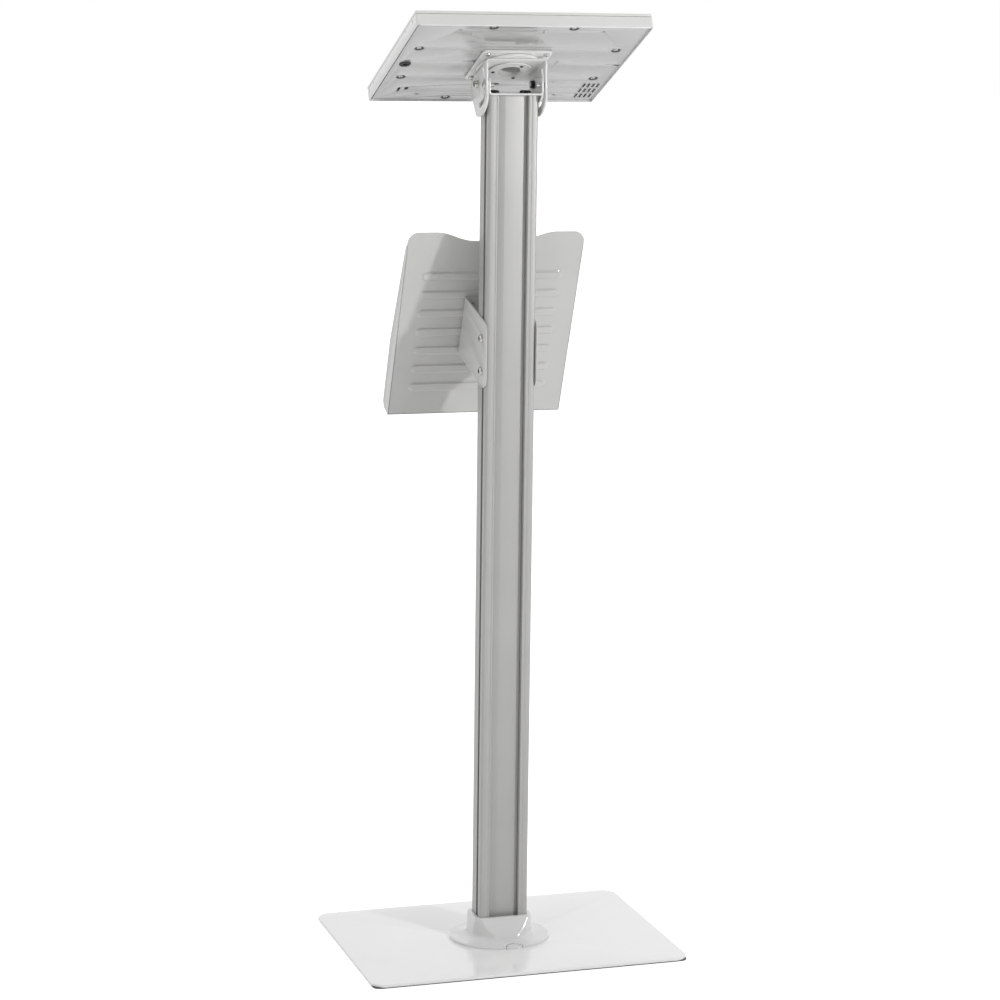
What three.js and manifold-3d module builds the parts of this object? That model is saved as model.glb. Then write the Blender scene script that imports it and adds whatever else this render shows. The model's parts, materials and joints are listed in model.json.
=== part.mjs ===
// Free-standing touchscreen kiosk: a steel foot plate, an extruded column, a leaning brochure tray,
// and a 12 inch touch display on a tilting and swivelling head.
// Millimetres. +Z up, the user stands on the -Y side. The origin is the centre of the foot's underside.
import * as THREE from "three";
import { mergeVertices } from "three/addons/utils/BufferGeometryUtils.js";
import Module from "manifold-3d";

const wasm = await Module();
wasm.setup();

// ---- Driving dimensions -------------------------------------------------------------------------
const MESH_GAP = 0.3; // left between pieces that lie against each other

const FOOT = { width: 415, depth: 297, padThick: 1.5, plateTop: 5, corner: 19, padCorner: 9 };
const COLUMN = {
  width: 64,
  depth: 38,
  top: 1083,
  corner: 5,
  recessHalf: 19.5, // half width of the long recess in the back face
  recessFloor: 10, // height of its floor above the column's centre line
  ductHalf: 24.5,
  ductFront: -16.5,
  ductBack: 8,
  ductMouthHalf: 14,
  grooveY: 5, // centre of the side grooves
  grooveMouth: 7,
  grooveWidth: 10,
  grooveLip: 1.8,
  grooveDepth: 5.5,
  portX: 20.5, // screw ports that run the length of the section
  portY: 6.5,
  portRadius: 5.2,
};
const COVER = { halfWidth: 19.1, thick: 2, bottom: 30 };
const COLLAR = {
  top: 36.5,
  flangeRadius: 65,
  flangeThick: 3,
  neckRadius: 42.3,
  flareHeight: 8,
  depthScale: 0.91,
  halfWidthTop: 38,
  halfDepthTop: 25,
  sideSlope: 0.12,
  backSlope: 0.5,
  wall: 2.6,
};

const PIVOT_Y = -4.5;
const PIVOT_Z = 1095.5;
const PANEL_TILT = THREE.MathUtils.degToRad(23.1); // the display's slope above the horizontal

const BRACKET = { halfWidth: 35.2, sheet: 2, back: 28, front: -18, plate: 2.5, cheekTop: 8.5 };
const LOCK_RADIUS = 26.5; // pivot to lock screw
const YOKE = { halfWidth: 39.1, sheet: 2.5, slotWidth: 6.6, slotFrom: -95, slotTo: 17, tipRadius: 40 };

const PANEL = { pivotV: 7.7, pivotN: 21.8, width: 298, height: 241.5, thick: 18.6, wall: 1.5 };
const BACK_PANEL = { rear: 2.2, thick: 1.3 };
const VESA = { half: 44.5, holePitch: 75, rear: -0.8, front: 1.9 };
const SWIVEL = { radius: 41, hub: 24.2, bore: 14, flangeRear: -4.3, flangeFront: -1.1, screwCircle: 21 };
const WEB = { rear: -7.1, front: -4.6, bore: 24.6 };
const RING = { radius: 28, rear: -9, front: -7.4 };

const TRAY = {
  lean: THREE.MathUtils.degToRad(21.67), // back from the vertical
  foldY: -72.6, // the plane of its back at the height of its bracket's top edge
  foldZ: 829,
  halfWidth: 116.5,
  top: 88,
  bottom: -170.5,
  sheet: 1.5,
  pocket: 27,
  lip: 42,
  ribs: 7,
  ribPitch: 26.3,
  ribTop: 27.7,
  ribLength: 186,
  ribHeight: 12,
  ribProud: 2.2,
};
const ARM = { halfWidth: 34, sheet: 1.7, webBottom: -79.6, screwHeights: [741.5, 782.5] };

// ---- Finishes -----------------------------------------------------------------------------------
const finish = (color, roughness, metalness) => ({ color, roughness, metalness });
const WHITE_GLOSS = finish(0xe6e5e4, 0.22, 0.0);
const WHITE_COAT = finish(0xd9d8d6, 0.45, 0.0);
const SILVER = finish(0xc6c5c2, 0.38, 0.7);
const STEEL = finish(0xb4b3b0, 0.3, 0.9);
const BLACK = finish(0x1c1c1e, 0.55, 0.0);
const GREEN = finish(0x1f4a35, 0.5, 0.0);
const GLASS = finish(0x15171a, 0.05, 0.0);
const RUBBER = finish(0x26262a, 0.85, 0.0);

// ---- Solids: three.js geometry in and out of the boolean library ----------------------------------
function solid(geometry) {
  const bare = geometry.index ? geometry.toNonIndexed() : geometry.clone();
  bare.deleteAttribute("normal");
  bare.deleteAttribute("uv");
  const merged = mergeVertices(bare, 1e-4);
  return new wasm.Manifold(
    new wasm.Mesh({
      numProp: 3,
      vertProperties: merged.attributes.position.array,
      triVerts: new Uint32Array(merged.index.array),
    }),
  );
}

function surface(manifold) {
  const mesh = manifold.getMesh();
  const indexed = new THREE.BufferGeometry();
  indexed.setAttribute("position", new THREE.BufferAttribute(mesh.vertProperties, 3));
  indexed.setIndex(new THREE.BufferAttribute(mesh.triVerts, 1));
  const geometry = indexed.toNonIndexed();
  geometry.computeVertexNormals();
  return geometry;
}

const joined = (parts) => parts.reduce((whole, part) => whole.add(part));
const cut = (body, tools) => tools.reduce((rest, tool) => rest.subtract(tool), body);

function block(x, y, z) {
  const [width, depth, height] = [x[1] - x[0], y[1] - y[0], z[1] - z[0]];
  const centre = [(x[0] + x[1]) / 2, (y[0] + y[1]) / 2, (z[0] + z[1]) / 2];
  return solid(new THREE.BoxGeometry(width, depth, height).translate(...centre));
}

// A round bar along Z, X or Y between two coordinates on that axis.
function bar(axis, radius, from, to, across = [0, 0], sides = 24) {
  const rod = new THREE.CylinderGeometry(radius, radius, to - from, sides);
  const middle = (from + to) / 2;
  if (axis === "z") rod.rotateX(Math.PI / 2).translate(across[0], across[1], middle);
  if (axis === "x") rod.rotateZ(-Math.PI / 2).translate(middle, across[0], across[1]);
  if (axis === "y") rod.translate(across[0], middle, across[1]);
  return solid(rod);
}

function prism(shape, from, to, curveSegments = 6) {
  const options = { depth: to - from, bevelEnabled: false, curveSegments };
  return solid(new THREE.ExtrudeGeometry(shape, options).translate(0, 0, from));
}

// An outline drawn in (Y, Z), extruded along X between two values.
function sidePrism(shape, from, to, curveSegments = 6) {
  const options = { depth: to - from, bevelEnabled: false, curveSegments };
  const turned = new THREE.ExtrudeGeometry(shape, options).rotateY(Math.PI / 2).rotateX(Math.PI / 2);
  return solid(turned.translate(from, 0, 0));
}

function polygon(points) {
  return new THREE.Shape(points.map(([x, y]) => new THREE.Vector2(x, y)));
}

function roundedRect(width, height, radius, cx = 0, cy = 0) {
  const [x0, x1] = [cx - width / 2, cx + width / 2];
  const [y0, y1] = [cy - height / 2, cy + height / 2];
  const shape = new THREE.Shape();
  shape.moveTo(x0 + radius, y0);
  shape.lineTo(x1 - radius, y0);
  shape.absarc(x1 - radius, y0 + radius, radius, -Math.PI / 2, 0);
  shape.lineTo(x1, y1 - radius);
  shape.absarc(x1 - radius, y1 - radius, radius, 0, Math.PI / 2);
  shape.lineTo(x0 + radius, y1);
  shape.absarc(x0 + radius, y1 - radius, radius, Math.PI / 2, Math.PI);
  shape.lineTo(x0, y0 + radius);
  shape.absarc(x0 + radius, y0 + radius, radius, Math.PI, 1.5 * Math.PI);
  return shape;
}

const slotShape = (width, height, cx, cy) => roundedRect(width, height, Math.min(width, height) / 2 - 0.01, cx, cy);

// A solid of revolution about Z from (radius, height) pairs given from the bottom up.
function turned(profile, sides = 24) {
  const points = profile.map(([r, z]) => new THREE.Vector2(r, z));
  return solid(new THREE.LatheGeometry(points, sides).rotateX(Math.PI / 2));
}

// A screw that points down -Z from its head: the head's seat is at the local origin.
function screwGeometry({ shank, length, head, headHeight, flat = false, sides = 10 }) {
  const crown = flat ? [[head, headHeight]] : [[head, headHeight * 0.4], [head * 0.7, headHeight]];
  const body = [[0, -length], [shank, -length], [shank, 0], [head, 0], ...crown, [0, headHeight]];
  return surface(turned(body, sides));
}

// ---- Scene graph --------------------------------------------------------------------------------
const kiosk = new THREE.Group();
const head = new THREE.Group(); // turned by the display's slope about the tilt axis
head.position.set(0, PIVOT_Y, PIVOT_Z);
head.rotation.x = PANEL_TILT;
const panel = new THREE.Group(); // x across, y up the display, z out of the screen, 0 at the rear rim
panel.position.set(0, PANEL.pivotV, PANEL.pivotN);
head.add(panel);
const pocket = new THREE.Group(); // x across, y up the tray, z forward, 0 at the back face of its sheet
pocket.position.set(0, TRAY.foldY, TRAY.foldZ);
pocket.rotation.x = Math.PI / 2 - TRAY.lean;
kiosk.add(head, pocket);

function place(name, geometry, look, parent = kiosk) {
  const material = new THREE.MeshStandardMaterial(look);
  const mesh = new THREE.Mesh(geometry, material);
  mesh.name = name;
  parent.add(mesh);
  return mesh;
}

// ---- Foot ---------------------------------------------------------------------------------------
const PORTS = [
  [COLUMN.portX, COLUMN.portY],
  [-COLUMN.portX, COLUMN.portY],
  [COLUMN.portX, -COLUMN.portY],
  [-COLUMN.portX, -COLUMN.portY],
];
const M6 = { hole: 3.2, shank: 2.9, head: 5.25, headHeight: 3.3 };
const FOOT_SCREW_HEAD = 5.6;

function addFoot() {
  const pad = prism(roundedRect(FOOT.width - 1, FOOT.depth - 1, FOOT.padCorner), 0, FOOT.padThick, 4);
  const padHoles = PORTS.map((port) => bar("z", 8, -1, FOOT.padThick + 1, port, 10));
  place("foot_pad", surface(cut(pad, padHoles)), RUBBER);

  const plate = prism(roundedRect(FOOT.width, FOOT.depth, FOOT.corner), FOOT.padThick, FOOT.plateTop, 8);
  const seats = PORTS.flatMap((port) => [
    bar("z", M6.hole, FOOT.padThick - 1, FOOT.plateTop + 1, port, 10),
    bar("z", FOOT_SCREW_HEAD + 0.4, FOOT.padThick - 1, FOOT.padThick + 1.8, port, 10),
  ]);
  place("foot_plate", surface(cut(plate, seats)), WHITE_GLOSS);

  PORTS.forEach((port, i) => {
    const look = { shank: M6.shank, length: 22, head: FOOT_SCREW_HEAD, headHeight: 1.6, flat: true };
    const screw = place(`foot_screw_${i + 1}`, screwGeometry(look), STEEL);
    screw.position.set(...port, FOOT.padThick + 1.7);
    screw.rotation.x = Math.PI;
  });
}

// ---- Column -------------------------------------------------------------------------------------
function columnGroove(side) {
  const [y, mouth, wide] = [COLUMN.grooveY, COLUMN.grooveMouth / 2, COLUMN.grooveWidth / 2];
  const outer = COLUMN.width / 2;
  const lip = outer - COLUMN.grooveLip;
  const floor = outer - COLUMN.grooveDepth;
  const outline = [
    [outer + 1, y - mouth],
    [outer + 1, y + mouth],
    [lip, y + mouth],
    [lip, y + wide],
    [floor, y + wide],
    [floor, y - wide],
    [lip, y - wide],
    [lip, y - mouth],
  ];
  const mirrored = outline.map(([x, h]) => [-x, h]).reverse();
  return polygon(side > 0 ? outline : mirrored);
}

function addColumn() {
  const [from, to] = [FOOT.plateTop, COLUMN.top];
  const [under, over] = [from - 1, to + 1];
  const half = COLUMN.depth / 2;
  const outside = prism(roundedRect(COLUMN.width, COLUMN.depth, COLUMN.corner), from, to, 3);
  const rail = { from: 20.2, to: 24, drop: 0.9 }; // the shallow step beside the recess
  const steps = [1, -1].map((side) => {
    const [a, b] = [side * rail.from, side * rail.to].sort((p, q) => p - q);
    return block([a, b], [half - rail.drop, half + 1], [under, over]);
  });
  const recess = block([-COLUMN.recessHalf, COLUMN.recessHalf], [COLUMN.recessFloor, half + 1], [under, over]);
  const hollows = [
    block([-COLUMN.ductMouthHalf, COLUMN.ductMouthHalf], [0, half], [under, over]),
    block([-COLUMN.ductHalf, COLUMN.ductHalf], [COLUMN.ductFront, COLUMN.ductBack], [under, over]),
    prism(columnGroove(1), under, over),
    prism(columnGroove(-1), under, over),
    ...steps,
  ];
  const walls = PORTS.map(([x, y]) => bar("z", COLUMN.portRadius, from, to, [x, y], 10));
  const shell = joined([cut(outside, hollows), ...walls]).subtract(recess);
  const threads = PORTS.flatMap((port) => [
    bar("z", M6.hole, from - 1, from + 26, port, 10),
    bar("z", M6.hole, to - 26, to + 1, port, 10),
  ]);
  place("column", surface(cut(shell, threads)), SILVER);

  const floor = COLUMN.recessFloor + MESH_GAP / 3;
  const cover = block([-COVER.halfWidth, COVER.halfWidth], [floor, floor + COVER.thick], [COVER.bottom, to]);
  place("cable_cover", surface(cover), SILVER);
}

// ---- Collar: a moulded skirt that hides the joint between column and foot -------------------------
function collarBody(shrink) {
  const base = FOOT.plateTop;
  const flangeTop = base + COLLAR.flangeThick - shrink;
  const [rim, neck] = [COLLAR.flangeRadius - shrink, COLLAR.neckRadius - shrink];
  const flare = new THREE.QuadraticBezierCurve(
    new THREE.Vector2(rim - 2, flangeTop),
    new THREE.Vector2(neck + 0.8, flangeTop + 0.8),
    new THREE.Vector2(neck, flangeTop + COLLAR.flareHeight),
  );
  const bottom = shrink ? base - 1 : base;
  const curve = flare.getPoints(5).map((p) => [p.x, p.y]);
  const profile = [[0, bottom], [rim, bottom], [rim, flangeTop - 0.8], ...curve, [neck, COLLAR.top + 1]];
  const round = solid(
    new THREE.LatheGeometry([...profile, [0, COLLAR.top + 1]].map(([r, z]) => new THREE.Vector2(r, z)), 32)
      .rotateX(Math.PI / 2)
      .scale(1, COLLAR.depthScale, 1),
  );
  const reach = COLLAR.top - base + 2;
  const [w, d] = [COLLAR.halfWidthTop - shrink, COLLAR.halfDepthTop - shrink];
  const top = COLLAR.top - shrink;
  const splay = (half, slope) => [
    [-half, top],
    [-half - slope * reach, top - reach],
    [half + slope * reach, top - reach],
    [half, top],
  ];
  const lengthways = sidePrism(polygon(splay(d, COLLAR.backSlope)), -80, 80);
  const flanks = solid(
    new THREE.ExtrudeGeometry(polygon(splay(w, COLLAR.sideSlope)), { depth: 160, bevelEnabled: false })
      .rotateX(Math.PI / 2)
      .translate(0, 80, 0),
  );
  const skirt = prism(roundedRect(200, 200, 1), base - 2, flangeTop + 0.5, 2);
  return round.intersect(lengthways.intersect(flanks).add(skirt));
}

function addCollar() {
  const inside = collarBody(COLLAR.wall);
  const columnHole = prism(roundedRect(COLUMN.width + 0.8, COLUMN.depth + 0.8, COLUMN.corner), 0, 60, 3);
  place("collar", surface(cut(collarBody(0), [inside, columnHole])), WHITE_GLOSS);
}

// ---- Head bracket -------------------------------------------------------------------------------
function addHeadBracket() {
  const { halfWidth, sheet, front, back, plate, cheekTop } = BRACKET;
  const base = COLUMN.top;
  const top = PIVOT_Z + cheekTop;
  const side = new THREE.Shape();
  side.moveTo(front, base);
  side.lineTo(back, base);
  side.lineTo(back, top - 6);
  side.absarc(back - 6, top - 6, 6, 0, Math.PI / 2);
  side.lineTo(front + 8, top);
  side.absarc(front + 8, top - 8, 8, Math.PI / 2, Math.PI);
  side.lineTo(front, base);
  const cheeks = [sidePrism(side, halfWidth - sheet, halfWidth), sidePrism(side, -halfWidth, sheet - halfWidth)];
  const floor = block([-halfWidth, halfWidth], [front, back], [base, base + plate]);
  const pass = [
    bar("x", M6.hole, -60, 60, [PIVOT_Y, PIVOT_Z], 12),
    bar("x", M6.hole, -60, 60, [PIVOT_Y + LOCK_RADIUS, PIVOT_Z], 12),
    prism(roundedRect(26, 18, 6, 0, -3), base - 1, base + plate + 1, 3),
    ...PORTS.map((port) => bar("z", M6.hole, base - 1, base + plate + 1, port, 10)),
  ];
  place("head_bracket", surface(cut(joined([floor, ...cheeks]), pass)), WHITE_COAT);

  PORTS.forEach((port, i) => {
    const look = { shank: M6.shank, length: 20, head: M6.head, headHeight: M6.headHeight };
    const screw = place(`head_screw_${i + 1}`, screwGeometry(look), STEEL);
    screw.position.set(...port, base + plate + 0.1);
  });
}

// Cross bolts through both cheeks: the pivots, and the lock screws that slide in the arc slots.
function addCrossBolts() {
  const outer = YOKE.halfWidth + 0.2;
  const inner = BRACKET.halfWidth - BRACKET.sheet;
  for (const [side, word] of [[1, "left"], [-1, "right"]]) {
    const pivot = place(
      `pivot_bolt_${word}`,
      screwGeometry({ shank: M6.shank, length: 11.5, head: 4.9, headHeight: 5.2, flat: true }),
      STEEL,
    );
    const lock = place(
      `lock_screw_${word}`,
      screwGeometry({ shank: M6.shank, length: 11.5, head: 4.6, headHeight: 2.2 }),
      STEEL,
    );
    pivot.position.set(side * outer, PIVOT_Y, PIVOT_Z);
    lock.position.set(side * outer, PIVOT_Y + LOCK_RADIUS, PIVOT_Z);
    pivot.rotation.y = lock.rotation.y = (side * Math.PI) / 2;

    const [a, b] = [inner - 4.3, inner - 0.1].map((x) => x * side).sort((p, q) => p - q);
    const nut = (y) => bar("x", 5.6, a, b, [y, PIVOT_Z], 6).subtract(bar("x", 3, -60, 60, [y, PIVOT_Z], 12));
    place(`pivot_nut_${word}`, surface(nut(PIVOT_Y)), STEEL);

    const [c, d] = [BRACKET.halfWidth + 0.1, YOKE.halfWidth - YOKE.sheet - 0.1]
      .map((x) => x * side)
      .sort((p, q) => p - q);
    const ring = bar("x", 7, c, d, [PIVOT_Y, PIVOT_Z], 16).subtract(bar("x", 3, -60, 60, [PIVOT_Y, PIVOT_Z], 12));
    place(`friction_washer_${word}`, surface(ring), BLACK);
  }
}

// ---- Tilting yoke, drawn in the head group: y up the display, z out of the screen -----------------
function yokeCheek() {
  const webFront = PANEL.pivotN + WEB.front;
  const [tip, from, to] = [YOKE.tipRadius, -125, -46].map((v, i) => (i ? THREE.MathUtils.degToRad(v) : v));
  const shape = new THREE.Shape();
  shape.moveTo(41, webFront);
  shape.lineTo(-28, webFront);
  shape.lineTo(-31, 8);
  shape.lineTo(-29.5, -10);
  shape.lineTo(tip * Math.cos(from), tip * Math.sin(from));
  shape.absarc(0, 0, tip, from, to);
  shape.lineTo(34, -5);
  shape.lineTo(41, 12);
  shape.lineTo(41, webFront);
  return shape;
}

function arcSlot() {
  const [a, b] = [YOKE.slotFrom, YOKE.slotTo].map(THREE.MathUtils.degToRad);
  const half = YOKE.slotWidth / 2;
  const end = (angle) => [LOCK_RADIUS * Math.cos(angle), LOCK_RADIUS * Math.sin(angle)];
  const shape = new THREE.Shape();
  shape.absarc(0, 0, LOCK_RADIUS + half, a, b);
  shape.absarc(...end(b), half, b, b + Math.PI);
  shape.absarc(0, 0, LOCK_RADIUS - half, b, a, true);
  shape.absarc(...end(a), half, a + Math.PI, a + 2 * Math.PI);
  return shape;
}

function addYoke() {
  const { halfWidth, sheet } = YOKE;
  const [rear, front] = [PANEL.pivotN + WEB.rear, PANEL.pivotN + WEB.front];
  const cheeks = [
    sidePrism(yokeCheek(), halfWidth - sheet, halfWidth, 12),
    sidePrism(yokeCheek(), -halfWidth, sheet - halfWidth, 12),
  ];
  const web = block([-halfWidth, halfWidth], [-28, 41], [rear, front]);
  const openings = [
    bar("z", WEB.bore, rear - 1, front + 1, [0, PANEL.pivotV], 32),
    bar("x", M6.hole, -60, 60, [0, 0], 12),
    sidePrism(arcSlot(), -60, 60, 8),
  ];
  place("tilt_yoke", surface(cut(joined([web, ...cheeks]), openings)), WHITE_COAT, head);
}

// ---- Swivel and mounting plate, drawn in the panel group ------------------------------------------
function addSwivel() {
  const { radius, hub, bore, flangeRear, flangeFront, screwCircle } = SWIVEL;
  const third = (2 * Math.PI) / 3;
  const spots = [0, 1, 2].map((i) => [screwCircle * Math.cos(i * third), screwCircle * Math.sin(i * third)]);
  const disc = turned(
    [[bore, WEB.rear], [hub, WEB.rear], [hub, flangeRear], [radius, flangeRear], [radius, flangeFront],
      [bore, flangeFront], [bore, WEB.rear]],
    36,
  );
  const taps = spots.map((spot) => bar("z", 1.7, WEB.rear - 1, flangeFront - 0.8, spot, 8));
  place("swivel_disc", surface(cut(disc, taps)), WHITE_COAT, panel);

  const ring = turned(
    [[bore + 3, RING.rear], [RING.radius, RING.rear], [RING.radius, RING.front], [bore, RING.front],
      [bore + 3, RING.rear]],
    36,
  );
  const holes = spots.map((spot) => bar("z", 1.8, RING.rear - 1, RING.front + 1, spot, 8));
  place("retaining_ring", surface(cut(ring, holes)), WHITE_COAT, panel);

  spots.forEach((spot, i) => {
    const look = { shank: 1.5, length: 6, head: 2.7, headHeight: 1.4 };
    const screw = place(`ring_screw_${i + 1}`, screwGeometry(look), STEEL, panel);
    screw.position.set(...spot, RING.rear - 0.1);
    screw.rotation.x = Math.PI;
  });
}

function addMountingPlate() {
  const half = VESA.holePitch / 2;
  const corners = [[1, 1], [-1, 1], [-1, -1], [1, -1]].map(([a, b]) => [a * half, b * half]);
  const sheet = prism(roundedRect(2 * VESA.half, 2 * VESA.half, 5), VESA.rear, VESA.front, 4);
  const holes = corners.map((spot) => bar("z", 2.3, VESA.rear - 1, VESA.front + 1, spot, 10));
  const centre = bar("z", SWIVEL.bore, VESA.rear - 1, VESA.front + 1, [0, 0], 24);
  place("vesa_plate", surface(cut(sheet, [...holes, centre])), WHITE_COAT, panel);

  corners.forEach((spot, i) => {
    const look = { shank: 1.9, length: 5, head: 3.7, headHeight: 2.2 };
    const screw = place(`vesa_screw_${i + 1}`, screwGeometry(look), STEEL, panel);
    screw.position.set(...spot, VESA.rear - 0.1);
    screw.rotation.x = Math.PI;
  });
}

// ---- Display ------------------------------------------------------------------------------------
const CASE_SCREWS = [[50.5, 110.5], [125.8, 45]].flatMap(([x, y]) => [[x, y], [-x, y], [-x, -y], [x, -y]]);
const SIDE_HOLES = [[104.6, 10.4, 4.5], [73.2, 11.3, 2.3], [-88.6, 11.6, 2.3], [-110.5, 10.9, 4.5]];
const CABLE_HOLE = 12; // through the rear panel, in line with the swivel's bore
const SOCKET = { x: 131, y: -3.8, radius: 7 };
const GLASS_REAR = 12.2;
const GLASS_FRONT = 14.9;
const BEZEL_REAR = 15.2;

function caseOpenings() {
  const vents = [0, 1, 2, 3].flatMap((column) =>
    [0, 1, 2].map((row) => slotShape(2.8, 12.6, -121 - column * 6.2, -68.6 - row * 16.8)),
  );
  const slots = [
    slotShape(8, 3.2, -142.2, -2.2), // lock slot
    slotShape(3.4, 13, 118.4, -86),
    slotShape(4.6, 8, 109, -82.5),
    slotShape(13, 5, -1, -65.7),
  ];
  return [...vents, ...slots];
}

function addDisplay() {
  const { width, height, wall, thick } = PANEL;
  const rear = BACK_PANEL.rear;
  const inner = rear + BACK_PANEL.thick;
  const outline = prism(roundedRect(width, height, 3), 0, BEZEL_REAR - MESH_GAP, 3);
  const recess = prism(roundedRect(width - 2 * wall, height - 2 * wall, 1.6), -1, rear, 2);
  const cavity = prism(roundedRect(width - 2 * wall, height - 2 * wall, 1.6), inner, 30, 2);
  const through = caseOpenings().map((shape) => prism(shape, rear - 1, inner + 1, 2));
  const drilled = CASE_SCREWS.map((spot) => bar("z", 1.8, rear - 1, inner + 1, spot, 8));
  const vesaHoles = [[1, 1], [-1, 1], [-1, -1], [1, -1]].map(([a, b]) => {
    return bar("z", 2.2, rear - 1, inner + 1, [(a * VESA.holePitch) / 2, (b * VESA.holePitch) / 2], 8);
  });
  const socketHole = bar("z", SOCKET.radius + 0.3, rear - 1, inner + 1, [SOCKET.x, SOCKET.y], 20);
  const cableHole = bar("z", CABLE_HOLE, rear - 1, inner + 1, [0, 0], 28);
  const sideHoles = SIDE_HOLES.map(([y, z, long]) => {
    return sidePrism(slotShape(2.2, long, y, z), width / 2 - wall - 1, width / 2 + 1, 3);
  });
  const pierced = [...through, ...drilled, ...vesaHoles, socketHole, cableHole, ...sideHoles];
  const rearCase = cut(outline, [recess, cavity, ...pierced]);
  place("rear_case", surface(rearCase), WHITE_COAT, panel);

  const frame = prism(roundedRect(width, height, 3), BEZEL_REAR, thick, 3);
  const viewport = prism(roundedRect(249, 187.5, 1), 0, 30, 2);
  place("front_bezel", surface(frame.subtract(viewport)), WHITE_COAT, panel);
  place("touch_glass", surface(block([-136, 136], [-104, 104], [GLASS_REAR, GLASS_FRONT])), GLASS, panel);
  place("lcd_module", surface(block([-130, 130], [-99, 99], [7.4, GLASS_REAR - MESH_GAP])), BLACK, panel);
  place("controller_board", surface(block([-60, 60], [-88, -12], [5, 6.6])), GREEN, panel);

  const socket = turned(
    [[0, 6.8], [0, 4.4], [3.1, 4.4], [3.1, 1.2], [SOCKET.radius, 1.2], [SOCKET.radius, 6.8], [0, 6.8]],
    20,
  );
  place("power_socket", surface(socket), BLACK, panel).position.set(SOCKET.x, SOCKET.y, 0);

  CASE_SCREWS.forEach((spot, i) => {
    const look = { shank: 1.5, length: 4, head: 3, headHeight: 1.3 };
    const screw = place(`case_screw_${i + 1}`, screwGeometry(look), STEEL, panel);
    screw.position.set(...spot, rear - 0.1);
    screw.rotation.x = Math.PI;
  });
}

// ---- Brochure tray, drawn in its leaning group ----------------------------------------------------
// Its top edge dips between two raised shoulders.
function trayOutline() {
  const { halfWidth: w, top, bottom } = TRAY;
  const shape = new THREE.Shape();
  shape.moveTo(-w, bottom);
  shape.lineTo(w, bottom);
  shape.lineTo(w, top - 14);
  shape.absarc(w - 14, top - 14, 14, 0, Math.PI / 2);
  shape.lineTo(78, top);
  shape.bezierCurveTo(62, top, 48, top - 12, 30, top - 12);
  shape.lineTo(-30, top - 12);
  shape.bezierCurveTo(-48, top - 12, -62, top, -78, top);
  shape.lineTo(14 - w, top);
  shape.absarc(14 - w, top - 14, 14, Math.PI / 2, Math.PI);
  return shape;
}

// The side walls grow from a narrow top to the pocket's full depth.
function trayWall() {
  const [low, deep] = [TRAY.bottom, TRAY.pocket];
  return polygon([
    [low, 0],
    [TRAY.top - 16, 0],
    [TRAY.top - 20, 6],
    [-75, deep],
    [low + 7, deep],
    [low, deep - 6],
  ]);
}

// Screws from the tray into its arm, between the ribs.
const TRAY_FIXINGS = [[22, -10.6], [-22, -10.6], [22, -63.2], [-22, -63.2]];

function addTray() {
  const { halfWidth: w, sheet, bottom, pocket: deep, lip, ribs, ribPitch, ribTop } = TRAY;
  const back = prism(trayOutline(), 0, sheet, 6);
  const walls = [sidePrism(trayWall(), w - sheet, w), sidePrism(trayWall(), -w, sheet - w)];
  const shelf = block([-w, w], [bottom, bottom + sheet], [0, deep - 6.5]);
  const front = block([-w, w], [bottom + 6, bottom + lip], [deep - sheet, deep]);
  const corner = [[bottom, deep - 6.5], [bottom + sheet, deep - 6.5], [bottom + 6.5, deep - sheet],
    [bottom + 6.5, deep], [bottom + 6, deep], [bottom, deep - 6]];
  const fold = sidePrism(polygon(corner), -w, w);
  const raised = Array.from({ length: ribs }, (_, i) => {
    const y = ribTop - i * ribPitch;
    return prism(slotShape(TRAY.ribLength, TRAY.ribHeight, 0, y), -TRAY.ribProud, 0.4, 3);
  });
  const holes = TRAY_FIXINGS.map((spot) => bar("z", 2.2, -5, sheet + 1, spot, 8));
  const whole = joined([back, ...walls, shelf, fold, front, ...raised]);
  place("brochure_tray", surface(cut(whole, holes)), WHITE_COAT, pocket);
}

// The arm is a folded channel: a web on the tray's back and two cheeks outside the column.
function addArm() {
  const { halfWidth, sheet, webBottom } = ARM;
  const seat = -TRAY.ribProud - MESH_GAP; // rear of the ribs, in the pocket group's z
  const [sin, cos] = [Math.sin(TRAY.lean), Math.cos(TRAY.lean)];
  const onTray = (along, out) => [TRAY.foldY + along * sin - out * cos, TRAY.foldZ + along * cos + out * sin];
  const top = onTray(0, seat);
  const low = onTray(webBottom, seat);
  const side = new THREE.Shape();
  side.moveTo(...top);
  side.lineTo(...low);
  side.lineTo(11, 721);
  side.lineTo(19, 724);
  side.lineTo(23, 730);
  side.lineTo(23, 797);
  side.lineTo(19, 802);
  side.lineTo(12, 805.5);
  side.lineTo(...top);
  const cheeks = [sidePrism(side, halfWidth - sheet, halfWidth), sidePrism(side, -halfWidth, sheet - halfWidth)];
  const webSide = polygon([top, onTray(0, seat - sheet), onTray(webBottom, seat - sheet), low]);
  const web = sidePrism(webSide, -halfWidth, halfWidth);
  const [y, z] = [COLUMN.grooveY, ARM.screwHeights];
  const bores = z.map((height) => bar("x", M6.hole, -60, 60, [y, height], 10));
  const turn = new THREE.Matrix4().makeRotationX(pocket.rotation.x).setPosition(pocket.position);
  const taps = TRAY_FIXINGS.map(([x, along]) => {
    const rod = new THREE.CylinderGeometry(2.2, 2.2, 30, 8).rotateX(Math.PI / 2).translate(x, along, 0);
    return solid(rod.applyMatrix4(turn));
  });
  place("tray_arm", surface(cut(joined([web, ...cheeks]), [...bores, ...taps])), WHITE_COAT);

  TRAY_FIXINGS.forEach((spot, i) => {
    const look = { shank: 1.9, length: 7.6, head: 3.6, headHeight: 2 };
    const screw = place(`tray_screw_${i + 1}`, screwGeometry(look), STEEL, pocket);
    screw.position.set(...spot, TRAY.sheet + 0.1);
  });
}

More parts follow.
